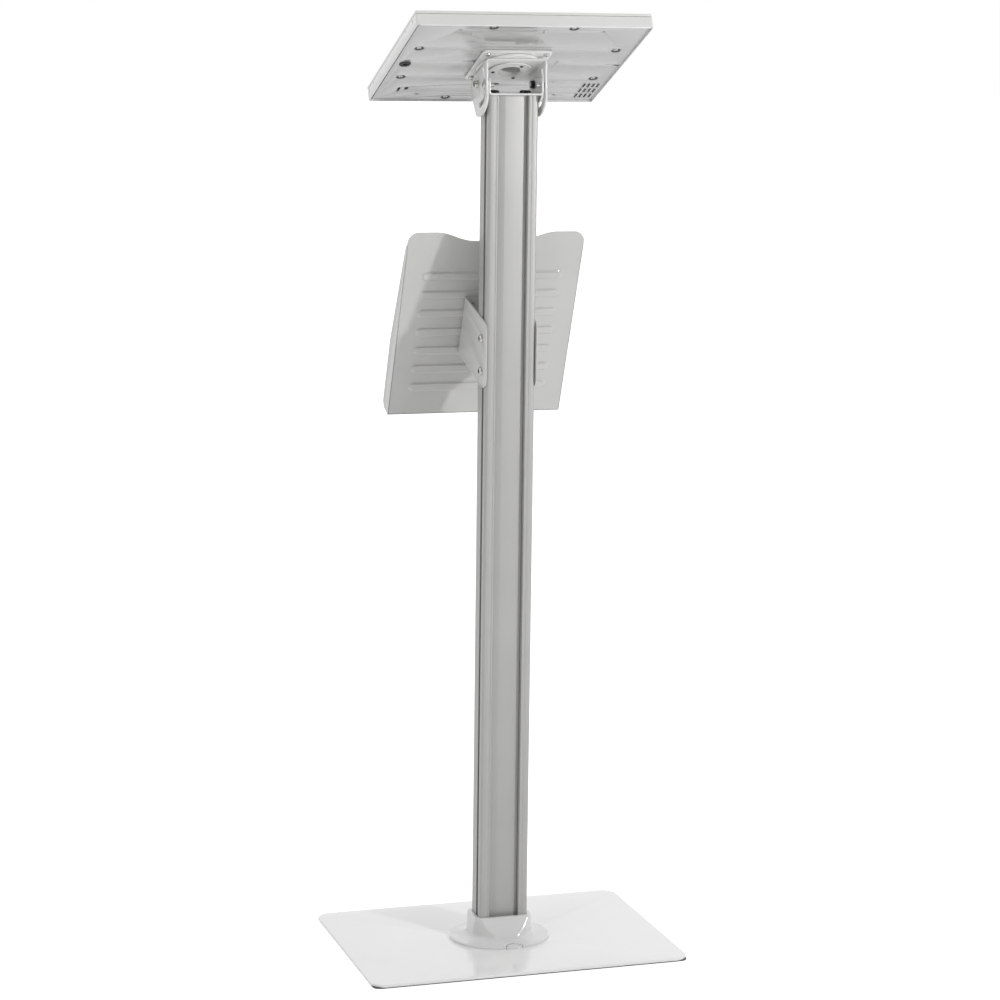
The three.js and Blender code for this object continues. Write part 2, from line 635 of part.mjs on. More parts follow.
// The arm's screws reach through its cheeks into bars that slide in the column's grooves.
function addArmFixings() {
  const floor = COLUMN.width / 2 - COLUMN.grooveDepth;
  const lip = COLUMN.width / 2 - COLUMN.grooveLip;
  const reach = COLUMN.grooveWidth / 2 - 0.4;
  const [low, high] = ARM.screwHeights;
  for (const [side, word] of [[1, "left"], [-1, "right"]]) {
    const [a, b] = [floor + 0.3, lip - 0.3].map((x) => x * side).sort((p, q) => p - q);
    const bores = [low, high].map((z) => bar("x", M6.hole, -60, 60, [COLUMN.grooveY, z], 10));
    const nuts = block([a, b], [COLUMN.grooveY - reach, COLUMN.grooveY + reach], [low - 15, high + 15]);
    place(`nut_bar_${word}`, surface(cut(nuts, bores)), STEEL);
    [low, high].forEach((z, i) => {
      const look = { shank: M6.shank, length: 6.6, head: M6.head, headHeight: M6.headHeight };
      const screw = place(`arm_screw_${word}_${i + 1}`, screwGeometry(look), STEEL);
      screw.position.set(side * (ARM.halfWidth + 0.1), COLUMN.grooveY, z);
      screw.rotation.y = (side * Math.PI) / 2;
    });
  }
}

addFoot();
addColumn();
addCollar();
addHeadBracket();
addCrossBolts();
addYoke();
addSwivel();
addMountingPlate();
addDisplay();
addTray();
addArm();
addArmFixings();

export default kiosk;
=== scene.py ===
"""Free-standing touchscreen kiosk: the finished look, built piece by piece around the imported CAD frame.

Metres, +Z up, the user on the -Y side. Sub-assemblies are classes whose sizes are fields in millimetres.
"""

import json  # noqa: E402
import logging  # noqa: E402
import math  # noqa: E402
from collections.abc import Callable, Iterable  # noqa: E402
from dataclasses import dataclass, field  # noqa: E402
from enum import Enum  # noqa: E402

import bmesh  # noqa: E402
import bpy  # noqa: E402
from mathutils import Matrix, Vector  # noqa: E402
from mathutils.geometry import tessellate_polygon  # noqa: E402


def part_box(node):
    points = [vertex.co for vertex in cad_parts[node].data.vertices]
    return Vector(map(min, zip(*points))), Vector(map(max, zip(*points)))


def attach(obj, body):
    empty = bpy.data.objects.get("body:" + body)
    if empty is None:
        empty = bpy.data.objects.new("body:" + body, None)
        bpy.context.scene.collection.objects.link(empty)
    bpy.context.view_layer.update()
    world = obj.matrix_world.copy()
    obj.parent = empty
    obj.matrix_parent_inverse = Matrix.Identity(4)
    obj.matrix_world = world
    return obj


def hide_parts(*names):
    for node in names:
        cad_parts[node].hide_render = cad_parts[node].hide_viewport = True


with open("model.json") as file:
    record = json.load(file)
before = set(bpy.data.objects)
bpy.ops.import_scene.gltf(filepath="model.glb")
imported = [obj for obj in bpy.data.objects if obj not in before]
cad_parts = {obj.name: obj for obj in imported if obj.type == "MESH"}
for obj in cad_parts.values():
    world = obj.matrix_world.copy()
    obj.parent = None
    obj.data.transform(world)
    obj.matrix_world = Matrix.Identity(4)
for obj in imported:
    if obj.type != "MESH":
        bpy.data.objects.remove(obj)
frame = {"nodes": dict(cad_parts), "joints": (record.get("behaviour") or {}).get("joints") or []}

log = logging.getLogger("kiosk")

MM = 0.001
WELD = 1e-5  # millimetres between points that are one point
SHARP = math.radians(38)

Point = tuple[float, float]
Loop = list[Point]


class Body(Enum):
    """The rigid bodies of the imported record."""

    STAND = "stand"
    YOKE = "yoke"
    DISPLAY = "display"


class Drive(Enum):
    """The recess in a screw's head."""

    HEX = "hex"
    CROSS = "cross"


class Head(Enum):
    """The form of a screw's head."""

    BUTTON = "button"
    CAP = "cap"
    FLAT = "flat"


# ---- Frames --------------------------------------------------------------------------------------
def joint(name: str) -> dict:
    """The record's joint of that name."""
    return next(j for j in frame["joints"] if j["name"] == name)


def frame_at(origin: Vector, turn: float) -> Matrix:
    """A frame at a point in metres, turned about X, that takes millimetres."""
    return Matrix.Translation(origin) @ Matrix.Rotation(turn, 4, "X") @ Matrix.Scale(MM, 4)


SCREEN_NORMAL = Vector(joint("display_swivel")["axis"])
PANEL_TURN = math.atan2(-SCREEN_NORMAL.y, SCREEN_NORMAL.z)
TRAY_LEAN = math.radians(21.67)
TRAY_TOP = 88.0
TRAY_SHEET = 1.5


def tray_origin() -> Vector:
    """The point of the tray's back face from which its heights are counted, found from its highest corner."""
    _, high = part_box("brochure_tray")
    rise = TRAY_TOP * math.cos(TRAY_LEAN) + TRAY_SHEET * math.sin(TRAY_LEAN)
    return Vector((0, high.y - TRAY_TOP * MM * math.sin(TRAY_LEAN), high.z - rise * MM))


ROW = Matrix.Scale(MM, 4)
HEAD = frame_at(Vector(joint("display_tilt")["pos_m"]), PANEL_TURN)
PANEL = frame_at(Vector(joint("display_swivel")["pos_m"]), PANEL_TURN)
POCKET = frame_at(tray_origin(), math.pi / 2 - TRAY_LEAN)
ALONG_X = Matrix(((0, 0, 1, 0), (1, 0, 0, 0), (0, 1, 0, 0), (0, 0, 0, 1)))  # (a, b, c) to (c, a, b)


# ---- Outlines ------------------------------------------------------------------------------------
def arc(centre: Point, radius: float, start: float, end: float, steps: int) -> Loop:
    """Points along an arc.

    Args:
        centre: Its centre.
        radius: Its radius.
        start: Start angle in degrees.
        end: End angle in degrees.
        steps: Number of chords.

    Returns:
        The points from start to end, both included.
    """
    angles = [math.radians(start + (end - start) * k / steps) for k in range(steps + 1)]
    return [(centre[0] + radius * math.cos(a), centre[1] + radius * math.sin(a)) for a in angles]


def circle(radius: float, centre: Point = (0, 0), sides: int = 32) -> Loop:
    """A closed circle."""
    return arc(centre, radius, 0, 360, sides)[:-1]


def rounded_rect(width: float, height: float, radius: float, centre: Point = (0, 0), steps: int = 6) -> Loop:
    """A rectangle with round corners, counter-clockwise.

    Args:
        width: Size along the first axis.
        height: Size along the second axis.
        radius: Corner radius.
        centre: Middle of the rectangle.
        steps: Chords in each corner.

    Returns:
        The closed loop.
    """
    across, up = width / 2 - radius, height / 2 - radius
    corners = [(across, -up, -90), (across, up, 0), (-across, up, 90), (-across, -up, 180)]
    loop: Loop = []
    for x, y, start in corners:
        loop += arc((centre[0] + x, centre[1] + y), radius, start, start + 90, steps)
    return loop


def slot(width: float, height: float, centre: Point, steps: int = 5) -> Loop:
    """A slot with round ends."""
    return rounded_rect(width, height, min(width, height) / 2 - 0.01, centre, steps)


def filleted(corners: Iterable[tuple[float, float, float]], steps: int = 4) -> Loop:
    """Rounds the corners of a polygon.

    Args:
        corners: Each corner as (x, y, radius).
        steps: Chords in each rounding.

    Returns:
        The closed loop.
    """
    points = list(corners)
    loop: Loop = []
    for i, (x, y, radius) in enumerate(points):
        here = Vector((x, y))
        before, after = Vector(points[i - 1][:2]) - here, Vector(points[(i + 1) % len(points)][:2]) - here
        if radius <= 0:
            loop.append((x, y))
            continue
        half = before.angle(after) / 2
        reach = min(radius / math.tan(half), 0.48 * before.length, 0.48 * after.length)
        start, end = here + before.normalized() * reach, here + after.normalized() * reach
        for k in range(steps + 1):
            t = k / steps
            spot = start * (1 - t) ** 2 + here * (2 * t * (1 - t)) + end * t**2
            loop.append((spot.x, spot.y))
    return loop


def mirrored(half: Iterable[tuple[float, float, float]]) -> list[tuple[float, float, float]]:
    """Closes a right half, given counter-clockwise, with its mirror image."""
    right = list(half)
    return right + [(-x, y, r) for x, y, r in reversed(right)]


def signed_area(loop: Loop) -> float:
    """Twice the area a loop encloses, positive if it runs counter-clockwise."""
    return sum(a[0] * b[1] - b[0] * a[1] for a, b in zip(loop, loop[1:] + loop[:1]))


def tidied(loop: Loop, counter_clockwise: bool) -> Loop:
    """Drops doubled points and sets the loop's direction."""
    kept = [p for i, p in enumerate(loop) if math.dist(p, loop[i - 1]) > WELD]
    return kept if (signed_area(kept) > 0) == counter_clockwise else kept[::-1]


def inset(loop: Loop, distance: float) -> Loop:
    """Moves each point of a loop towards the material on its left.

    Args:
        loop: The closed loop.
        distance: How far the edges move.

    Returns:
        The moved loop, with as many points.
    """
    moved: Loop = []
    for i, (x, y) in enumerate(loop):
        ahead = Vector(loop[(i + 1) % len(loop)]) - Vector((x, y))
        behind = Vector((x, y)) - Vector(loop[i - 1])
        first, second = Vector((-behind.y, behind.x)).normalized(), Vector((-ahead.y, ahead.x)).normalized()
        middle = (first + second).normalized() if (first + second).length > 1e-6 else first
        reach = distance / max(0.4, middle.dot(first))
        moved.append((x + middle.x * reach, y + middle.y * reach))
    return moved


def smoothstep(t: float) -> float:
    """Rises smoothly from 0 to 1."""
    t = min(1.0, max(0.0, t))
    return t * t * (3 - 2 * t)


# ---- Solids --------------------------------------------------------------------------------------
class Solid:
    """A mesh under construction, in millimetres in a frame of its own."""

    def __init__(self) -> None:
        """Starts an empty mesh."""
        self.bm = bmesh.new()

    def ring(self, points: Iterable[tuple[float, float, float]], placing: Matrix | None = None) -> list:
        """Adds a row of vertices."""
        turn = placing or Matrix.Identity(4)
        return [self.bm.verts.new(turn @ Vector(p)) for p in points]

    def bridge(self, lower: list, upper: list, closed: bool = True) -> None:
        """Joins two rows of as many vertices with quads."""
        last = len(lower) if closed else len(lower) - 1
        for i in range(last):
            j = (i + 1) % len(lower)
            self.bm.faces.new((lower[i], lower[j], upper[j], upper[i])).smooth = True

    def cap(self, rings: list[list], loops: list[Loop], flip: bool = False) -> None:
        """Fills an outline with holes, flat to its edges.

        Args:
            rings: The vertices of each loop.
            loops: The same loops as points.
            flip: Whether the face looks down.
        """
        flat = [v for ring in rings for v in ring]
        for triangle in tessellate_polygon([[Vector((x, y, 0)) for x, y in loop] for loop in loops]):
            corners = [flat[i] for i in triangle]
            if len(set(corners)) == 3:
                self.bm.faces.new(corners[::-1] if flip else corners)

    def slab(
        self, outline: Loop, bottom: float, top: float, holes: Iterable[Loop] = (), edge: float = 0.3,
        steps: int = 2, placing: Matrix | None = None, hole_edge: float | None = None,
    ) -> "Solid":
        """Adds a plate with rounded edges.

        Args:
            outline: Its outer loop.
            bottom: Height of its lower face.
            top: Height of its upper face.
            holes: Loops cut through it.
            edge: Radius of the outer edges.
            steps: Chords in an edge.
            placing: Where it goes.
            hole_edge: Radius of the holes' edges, if it differs.

        Returns:
            The solid itself.
        """
        loops = [tidied(outline, True), *(tidied(hole, False) for hole in holes)]
        quarter = [k / steps * math.pi / 2 for k in range(steps + 1)]
        ends = []
        for number, loop in enumerate(loops):
            bend = edge if number == 0 or hole_edge is None else hole_edge
            lower = [(bottom + bend * (1 - math.cos(a)), bend * (1 - math.sin(a))) for a in quarter]
            upper = [(top + bottom - z, pull) for z, pull in reversed(lower)]
            rows = []
            for z, pull in lower + upper:
                moved = inset(loop, pull) if pull > 0 else loop
                rows.append((moved, self.ring([(x, y, z) for x, y in moved], placing)))
            for (_, under), (_, over) in zip(rows, rows[1:]):
                self.bridge(under, over)
            ends.append((rows[0], rows[-1]))
        self.cap([end[0][1] for end in ends], [end[0][0] for end in ends], flip=True)
        self.cap([end[1][1] for end in ends], [end[1][0] for end in ends])
        return self

    def lathe(
        self, profile: Loop, sides: int = 48, closed: bool = False, centre: Point = (0, 0),
        placing: Matrix | None = None,
    ) -> "Solid":
        """Adds a solid of revolution about the third axis.

        Args:
            profile: (radius, height) pairs.
            sides: Number of sides.
            closed: Whether the profile is a loop clear of the axis.
            centre: Where the axis stands.
            placing: Where it goes.

        Returns:
            The solid itself.
        """
        rows = []
        for radius, z in profile:
            spots = circle(max(radius, 0), centre, sides)
            rows.append(self.ring([(x, y, z) for x, y in spots], placing))
        for under, over in zip(rows, rows[1:]):
            self.bridge(under, over)
        if closed:
            self.bridge(rows[-1], rows[0])
        return self

    def fold(
        self, line: float, side: int, radius: float, faces: Point, toward: int, steps: int = 5,
    ) -> "Solid":
        """Bends all that lies beyond a line across the first axis by a right angle.

        Args:
            line: Where the bend starts.
            side: 1 for the part beyond the line, -1 for the part below it.
            radius: Inner bend radius.
            faces: Heights of the sheet's two faces.
            toward: 1 to bend up, -1 to bend down.
            steps: Chords in the bend.

        Returns:
            The solid itself.
        """
        low, high = faces
        length = (radius + (high - low) / 2) * math.pi / 2
        centre = high + radius if toward > 0 else low - radius
        for k in range(steps + 1):
            at = line + side * length * k / steps
            geometry = self.bm.verts[:] + self.bm.edges[:] + self.bm.faces[:]
            bmesh.ops.bisect_plane(self.bm, geom=geometry, dist=1e-6, plane_co=(at, 0, 0), plane_no=(1, 0, 0))
        for face in self.bm.faces:
            if 0 < side * (face.calc_center_median().x - line) < length:
                face.smooth = True
        for vertex in self.bm.verts:
            beyond = side * (vertex.co.x - line)
            if beyond <= 1e-6:
                continue
            reach = abs(centre - vertex.co.z)
            angle, tail = min(1.0, beyond / length) * math.pi / 2, max(0.0, beyond - length)
            vertex.co.x = line + side * (reach * math.sin(angle) + tail * math.cos(angle))
            vertex.co.z = centre - toward * (reach * math.cos(angle) - tail * math.sin(angle))
        return self

    def carved(self, cutter: "Solid") -> "Solid":
        """Cuts another solid out of this one, both closed.

        Args:
            cutter: What is taken away.

        Returns:
            The solid itself.
        """
        whole = bpy.data.objects.new("whole", self.mesh("whole", Matrix.Identity(4)))
        tool = bpy.data.objects.new("tool", cutter.mesh("tool", Matrix.Identity(4)))
        for used in (whole, tool):
            bpy.context.scene.collection.objects.link(used)
        modifier = whole.modifiers.new("carve", "BOOLEAN")
        modifier.operation = "DIFFERENCE"
        modifier.solver = "EXACT"
        modifier.object = tool
        graph = bpy.context.evaluated_depsgraph_get()
        rest = bpy.data.meshes.new_from_object(whole.evaluated_get(graph), depsgraph=graph)
        self.bm = bmesh.new()
        self.bm.from_mesh(rest)
        for used in (whole, tool):
            data = used.data
            bpy.data.objects.remove(used)
            bpy.data.meshes.remove(data)
        bpy.data.meshes.remove(rest)
        return self

    def mesh(self, name: str, placing: Matrix, extra: Iterable[bpy.types.Mesh] = ()) -> bpy.types.Mesh:
        """Ends the building.

        Args:
            name: The mesh's name.
            placing: From this solid's frame to the row's metres.
            extra: Meshes, already in metres, that belong to the same piece.

        Returns:
            The finished mesh, faces out, smooth between soft edges.
        """
        bmesh.ops.remove_doubles(self.bm, verts=self.bm.verts[:], dist=WELD)
        bmesh.ops.dissolve_degenerate(self.bm, edges=self.bm.edges[:], dist=WELD)
        self.bm.transform(placing)
        for part in extra:
            self.bm.from_mesh(part)
            bpy.data.meshes.remove(part)
        bmesh.ops.recalc_face_normals(self.bm, faces=self.bm.faces[:])
        made = bpy.data.meshes.new(name)
        self.bm.to_mesh(made)
        self.bm.free()
        made.materials.clear()
        made.set_sharp_from_angle(angle=SHARP)
        return made


def piece(
    name: str, solid: Solid, body: Body, finish: "Finish", placing: Matrix = ROW,
    stands_for: Iterable[str] = (), extra: Iterable[bpy.types.Mesh] = (),
    others: Iterable[tuple["Finish", Callable[[Vector], bool]]] = (),
) -> bpy.types.Object:
    """Turns a solid into a piece that rides on its body.

    Args:
        name: The piece's name.
        solid: Its geometry.
        body: The body that carries it.
        finish: Its finish, which also names the record's slot.
        placing: From the solid's frame to the row's metres.
        stands_for: CAD nodes it replaces.
        extra: Meshes in metres that belong to it.
        others: Further finishes, each with a test in metres for the faces that take it; the near black ones
            are painted shade.

    Returns:
        The object, at the origin.
    """
    made = bpy.data.objects.new(name, solid.mesh(name, placing, extra))
    made.data.materials.append(finish.material())
    for number, (second, takes) in enumerate(others, 1):
        made.data.materials.append(second.material())
        for face in made.data.polygons:
            if takes(face.center):
                face.material_index = number
    bpy.context.scene.collection.objects.link(made)
    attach(made, body.value)
    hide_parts(*stands_for)
    log.info("%s: %d faces", name, len(made.data.polygons))
    return made


# ---- Finishes ------------------------------------------------------------------------------------
@dataclass(frozen=True)
class Finish:
    """A procedural surface: a tone that wanders, a fine grain, and a gloss that varies.

    Attributes:
        slot: The record's material slot.
        tone: Base colour, linear.
        wander: How far the tone moves either way, as a share.
        cloud: Size of the tone's patches in millimetres.
        roughness: Middle roughness.
        gloss_spread: How far the roughness moves either way.
        grain: Size of the grain along X, Y and Z in millimetres.
        relief: Height of the grain in millimetres.
        metallic: 0 for paint, 1 for bare metal.
        coat: Weight of a clear glossy layer.
        specular: Specular level.
        speck: Share of the surface that carries darker specks.
        part: Which part of the slot's surface it is for, where the slot has several; the darker and near
            black parts are painted shade.
    """

    slot: str
    tone: tuple[float, float, float]
    wander: float = 0.02
    cloud: float = 60.0
    roughness: float = 0.4
    gloss_spread: float = 0.05
    grain: tuple[float, float, float] = (1.0, 1.0, 1.0)
    relief: float = 0.01
    metallic: float = 0.0
    coat: float = 0.0
    specular: float = 0.5
    speck: float = 0.0
    part: str = ""

    def material(self) -> bpy.types.Material:
        """The finish as a node material, made once."""
        name = f"finish_{self.slot}{self.part}"
        if name in bpy.data.materials:
            return bpy.data.materials[name]
        made = bpy.data.materials.new(name)
        made.use_nodes = True
        tree = made.node_tree
        tree.nodes.clear()
        wire = tree.links.new
        output = tree.nodes.new("ShaderNodeOutputMaterial")
        shader = tree.nodes.new("ShaderNodeBsdfPrincipled")
        shader.inputs["Metallic"].default_value = self.metallic
        shader.inputs["Coat Weight"].default_value = self.coat
        shader.inputs["Coat Roughness"].default_value = 0.06
        shader.inputs["Specular IOR Level"].default_value = self.specular
        wire(shader.outputs["BSDF"], output.inputs["Surface"])
        place = tree.nodes.new("ShaderNodeTexCoord")

        def noise(sizes: tuple[float, float, float], detail: float) -> bpy.types.NodeSocket:
            """Noise with features of these sizes in millimetres."""
            mapping = tree.nodes.new("ShaderNodeMapping")
            mapping.inputs["Scale"].default_value = [1 / (size * MM) for size in sizes]
            texture = tree.nodes.new("ShaderNodeTexNoise")
            texture.inputs["Scale"].default_value = 1.0
            texture.inputs["Detail"].default_value = detail
            wire(place.outputs["Object"], mapping.inputs["Vector"])
            wire(mapping.outputs["Vector"], texture.inputs["Vector"])
            return texture.outputs["Fac"]

        def ranged(source: bpy.types.NodeSocket, low: float, high: float, start: float, end: float):
            """A linear map of a value."""
            node = tree.nodes.new("ShaderNodeMapRange")
            for key, value in (("From Min", start), ("From Max", end), ("To Min", low), ("To Max", high)):
                node.inputs[key].default_value = value
            wire(source, node.inputs["Value"])
            return node.outputs["Result"]

        def blended(factor: bpy.types.NodeSocket, first, second) -> bpy.types.NodeSocket:
            """A mix of two colours, each a colour or a socket."""
            node = tree.nodes.new("ShaderNodeMix")
            node.data_type = "RGBA"
            wire(factor, node.inputs[0])
            for socket, value in ((node.inputs[6], first), (node.inputs[7], second)):
                if isinstance(value, bpy.types.NodeSocket):
                    wire(value, socket)
                else:
                    socket.default_value = (*value, 1.0)
            return node.outputs[2]

        cloud = noise((self.cloud,) * 3, 3.0)
        grain = noise(self.grain, 2.0)
        low, high = (tuple(min(1.0, c * (1 + s * self.wander)) for c in self.tone) for s in (-1, 1))
        colour = blended(ranged(cloud, 0.0, 1.0, 0.3, 0.7), low, high)
        if self.speck:
            mark = ranged(noise((2.5, 2.5, 2.5), 4.0), 0.0, 1.0, 1 - self.speck, 1.0)
            colour = blended(mark, colour, tuple(c * 0.6 for c in self.tone))
        wire(colour, shader.inputs["Base Color"])
        glossy, matt = self.roughness - self.gloss_spread, self.roughness + self.gloss_spread
        rough = ranged(grain, glossy, matt, 0.25, 0.75)
        wire(rough, shader.inputs["Roughness"])
        bump = tree.nodes.new("ShaderNodeBump")
        bump.inputs["Strength"].default_value = 1.0
        bump.inputs["Distance"].default_value = self.relief * MM
        wire(grain, bump.inputs["Height"])
        wire(bump.outputs["Normal"], shader.inputs["Normal"])
        return made


# The tones are set for this studio's light and are not paint measurements. One white coat has several tones;
# the darker ones are shaded copies of one paint, which is painted shade.
# The seat, score, socket and groove finishes are near black: painted shade in place of the shadow in narrow
# recesses.
ENAMEL = Finish(
    "white_gloss", (0.82, 0.82, 0.815), wander=0.012, cloud=90, roughness=0.14, gloss_spread=0.03,
    grain=(6, 6, 6), relief=0.004, coat=0.4, speck=0.22,
)
# Darker copy of the white gloss for the collar: painted shade.
COLLAR = Finish(
    "white_gloss", (0.69, 0.69, 0.685), wander=0.012, cloud=60, roughness=0.14, gloss_spread=0.03,
    grain=(6, 6, 6), relief=0.003, coat=0.5, speck=0.2, part="_collar",
)
POWDER = Finish(
    "white_powder_coat", (0.76, 0.76, 0.75), wander=0.02, cloud=70, roughness=0.24, gloss_spread=0.04,
    grain=(1.6, 1.6, 1.6), relief=0.003, coat=0.4, speck=0.2,
)
# Darker copy of the white powder coat for the tray and its arm: painted shade.
SHEET = Finish(
    "white_powder_coat", (0.58, 0.58, 0.57), wander=0.02, cloud=70, roughness=0.22, gloss_spread=0.04,
    grain=(2, 2, 2), relief=0.003, coat=0.4, speck=0.2, part="_sheet",
)
# Much darker, glossier copy of the white powder coat for the display's rear panel and its pressed details:
# painted shade.
CASE = Finish(
    "white_powder_coat", (0.44, 0.44, 0.435), wander=0.02, cloud=70, roughness=0.14, gloss_spread=0.03,
    grain=(3, 3, 3), relief=0.0015, coat=1.0, specular=0.7, speck=0.15, part="_case",
)
# Copy of the white powder coat at about its plain tone, for the case's folded rim and the bezel; the panel's
# darker copy is painted shade.
RIM = Finish(
    "white_powder_coat", (0.74, 0.74, 0.73), wander=0.02, cloud=70, roughness=0.22, gloss_spread=0.04,
    grain=(2, 2, 2), relief=0.002, coat=0.4, speck=0.15, part="_rim",
)
# Near black copy of the white powder coat for the walls of the case's screw seats: painted shade.
SEAT_SHADE = Finish(
    "white_powder_coat", (0.07, 0.07, 0.07), wander=0.1, cloud=8, roughness=0.5, gloss_spread=0.08,
    grain=(1.6, 1.6, 1.6), relief=0.006, speck=0.2, part="_seat",
)
ANODISED = Finish(
    "silver_anodised", (0.45, 0.45, 0.44), wander=0.03, cloud=120, roughness=0.42, gloss_spread=0.05,
    grain=(0.25, 0.25, 90), relief=0.004, metallic=0.3, speck=0.15,
)
# Near black copy of the anodising for the insides of the column's side grooves: painted shade.
GROOVE_SHADE = Finish(
    "silver_anodised", (0.02, 0.02, 0.02), wander=0.1, cloud=20, roughness=0.6, gloss_spread=0.05,
    grain=(0.25, 0.25, 90), relief=0.004, speck=0.15, part="_groove",
)
ZINC = Finish(
    "fastener_steel", (0.62, 0.62, 0.60), wander=0.08, cloud=4, roughness=0.22, gloss_spread=0.08,
    grain=(0.5, 0.5, 0.5), relief=0.01, metallic=1.0, speck=0.3,
)
# Near black copy of the steel for the arm screws' drive recesses: painted shade.
SOCKET = Finish(
    "fastener_steel", (0.03, 0.03, 0.03), wander=0.1, cloud=4, roughness=0.5, gloss_spread=0.08,
    grain=(0.5, 0.5, 0.5), relief=0.01, speck=0.3, part="_socket",
)
BLACKED = Finish(
    "fastener_black", (0.030, 0.030, 0.032), wander=0.15, cloud=4, roughness=0.32, gloss_spread=0.08,
    grain=(0.5, 0.5, 0.5), relief=0.01, metallic=0.6, speck=0.3,
)
# Dark copy of the white gloss for the collar's score line: painted shade.
SCORE_SHADE = Finish(
    "white_gloss", (0.16, 0.16, 0.16), wander=0.1, cloud=8, roughness=0.5, gloss_spread=0.08,
    grain=(2, 2, 2), relief=0.004, speck=0.2, part="_score",
)
RUBBER = Finish(
    "rubber_sheet", (0.10, 0.10, 0.10), wander=0.15, cloud=25, roughness=0.85, gloss_spread=0.08,
    grain=(0.8, 0.8, 0.8), relief=0.06, speck=0.3,
)
NYLON = Finish(
    "black_plastic", (0.018, 0.018, 0.019), wander=0.15, cloud=6, roughness=0.4, gloss_spread=0.1,
    grain=(0.4, 0.4, 0.4), relief=0.02, speck=0.2,
)
MODULE = Finish(
    "black_module", (0.028, 0.028, 0.032), wander=0.12, cloud=30, roughness=0.5, gloss_spread=0.08,
    grain=(0.6, 0.6, 0.6), relief=0.02, speck=0.2,
)
BOARD = Finish(
    "circuit_board", (0.02, 0.10, 0.05), wander=0.2, cloud=9, roughness=0.35, gloss_spread=0.12,
    grain=(1.2, 1.2, 1.2), relief=0.05, speck=0.35,
)
GLASS = Finish(
    "touch_glass", (0.014, 0.015, 0.018), wander=0.2, cloud=40, roughness=0.07, gloss_spread=0.04,
    grain=(18, 26, 18), relief=0.0008, coat=0.6, speck=0.2,
)


# ---- Repeats: templates placed on points by a node tree -------------------------------------------
@dataclass(frozen=True)
class Spot:
    """A place for a repeated detail: a point and the way it faces, in the local frame."""

    at: tuple[float, float, float]
    facing: tuple[float, float, float]


def placing_tree() -> bpy.types.NodeTree:
    """The node tree that sets a template on each point, facing the point's own way, turned at random."""
    name = "place_template"
    if name in bpy.data.node_groups:
        return bpy.data.node_groups[name]
    tree = bpy.data.node_groups.new(name, "GeometryNodeTree")
    face = tree.interface
    face.new_socket("Points", in_out="INPUT", socket_type="NodeSocketGeometry")
    face.new_socket("Template", in_out="INPUT", socket_type="NodeSocketObject")
    face.new_socket("Finish", in_out="INPUT", socket_type="NodeSocketMaterial")
    face.new_socket("Spin", in_out="INPUT", socket_type="NodeSocketFloat")
    face.new_socket("Seed", in_out="INPUT", socket_type="NodeSocketInt")
    face.new_socket("Placed", in_out="OUTPUT", socket_type="NodeSocketGeometry")
    add, wire = tree.nodes.new, tree.links.new
    source, target = add("NodeGroupInput"), add("NodeGroupOutput")
    info = add("GeometryNodeObjectInfo")
    wire(source.outputs["Template"], info.inputs["Object"])
    facing = add("GeometryNodeInputNamedAttribute")
    facing.data_type = "FLOAT_VECTOR"
    facing.inputs["Name"].default_value = "facing"
    align = add("FunctionNodeAlignRotationToVector")
    align.axis = "Z"
    wire(facing.outputs["Attribute"], align.inputs["Vector"])
    chance = add("FunctionNodeRandomValue")
    chance.data_type = "FLOAT"
    wire(source.outputs["Spin"], chance.inputs[3])
    wire(source.outputs["Seed"], chance.inputs["Seed"])
    spin = add("FunctionNodeAxisAngleToRotation")
    spin.inputs["Axis"].default_value = (0, 0, 1)
    wire(chance.outputs[1], spin.inputs["Angle"])
    turn = add("FunctionNodeRotateRotation")
    turn.rotation_space = "LOCAL"
    wire(align.outputs["Rotation"], turn.inputs["Rotation"])
    wire(spin.outputs["Rotation"], turn.inputs["Rotate By"])
    place = add("GeometryNodeInstanceOnPoints")
    wire(source.outputs["Points"], place.inputs["Points"])
    wire(info.outputs["Geometry"], place.inputs["Instance"])
    wire(turn.outputs["Rotation"], place.inputs["Rotation"])
    real = add("GeometryNodeRealizeInstances")
    wire(place.outputs["Instances"], real.inputs["Geometry"])
    coat = add("GeometryNodeSetMaterial")
    wire(real.outputs["Geometry"], coat.inputs["Geometry"])
    wire(source.outputs["Finish"], coat.inputs["Material"])
    wire(coat.outputs["Geometry"], target.inputs["Placed"])
    return tree


def placed(
    template: Solid, spots: list[Spot], finish: Finish, placing: Matrix = ROW, spin: float = 0.0,
    seed: int = 7,
) -> bpy.types.Mesh:
    """Sets a template on every spot.

    Args:
        template: The detail, standing on the local origin and facing up.
        spots: Where it goes.
        finish: Its finish.
        placing: From the spots' frame to metres.
        spin: Largest random turn about its own axis, in radians.
        seed: Seed of the random turns.

    Returns:
        One mesh in metres.
    """
    stamp = bpy.data.objects.new("template", template.mesh("template", Matrix.Scale(MM, 4)))
    host_mesh = bpy.data.meshes.new("spots")
    host_mesh.from_pydata([placing @ Vector(spot.at) for spot in spots], [], [])
    facing = host_mesh.attributes.new("facing", "FLOAT_VECTOR", "POINT")
    turn = placing.to_3x3().normalized()
    facing.data.foreach_set("vector", [c for spot in spots for c in turn @ Vector(spot.facing)])
    host = bpy.data.objects.new("spots", host_mesh)
    bpy.context.scene.collection.objects.link(host)
    tree = placing_tree()
    modifier = host.modifiers.new("place", "NODES")
    modifier.node_group = tree
    inputs = {
        item.name: item.identifier
        for item in tree.interface.items_tree
        if item.item_type == "SOCKET" and item.in_out == "INPUT"
    }
    values = {"Template": stamp, "Finish": finish.material(), "Spin": spin, "Seed": seed}
    for key, value in values.items():
        modifier[inputs[key]] = value
    graph = bpy.context.evaluated_depsgraph_get()
    made = bpy.data.meshes.new_from_object(host.evaluated_get(graph), depsgraph=graph)
    host.modifiers.clear()
    for used in (host, stamp):
        data = used.data
        bpy.data.objects.remove(used)
        bpy.data.meshes.remove(data)
    return made


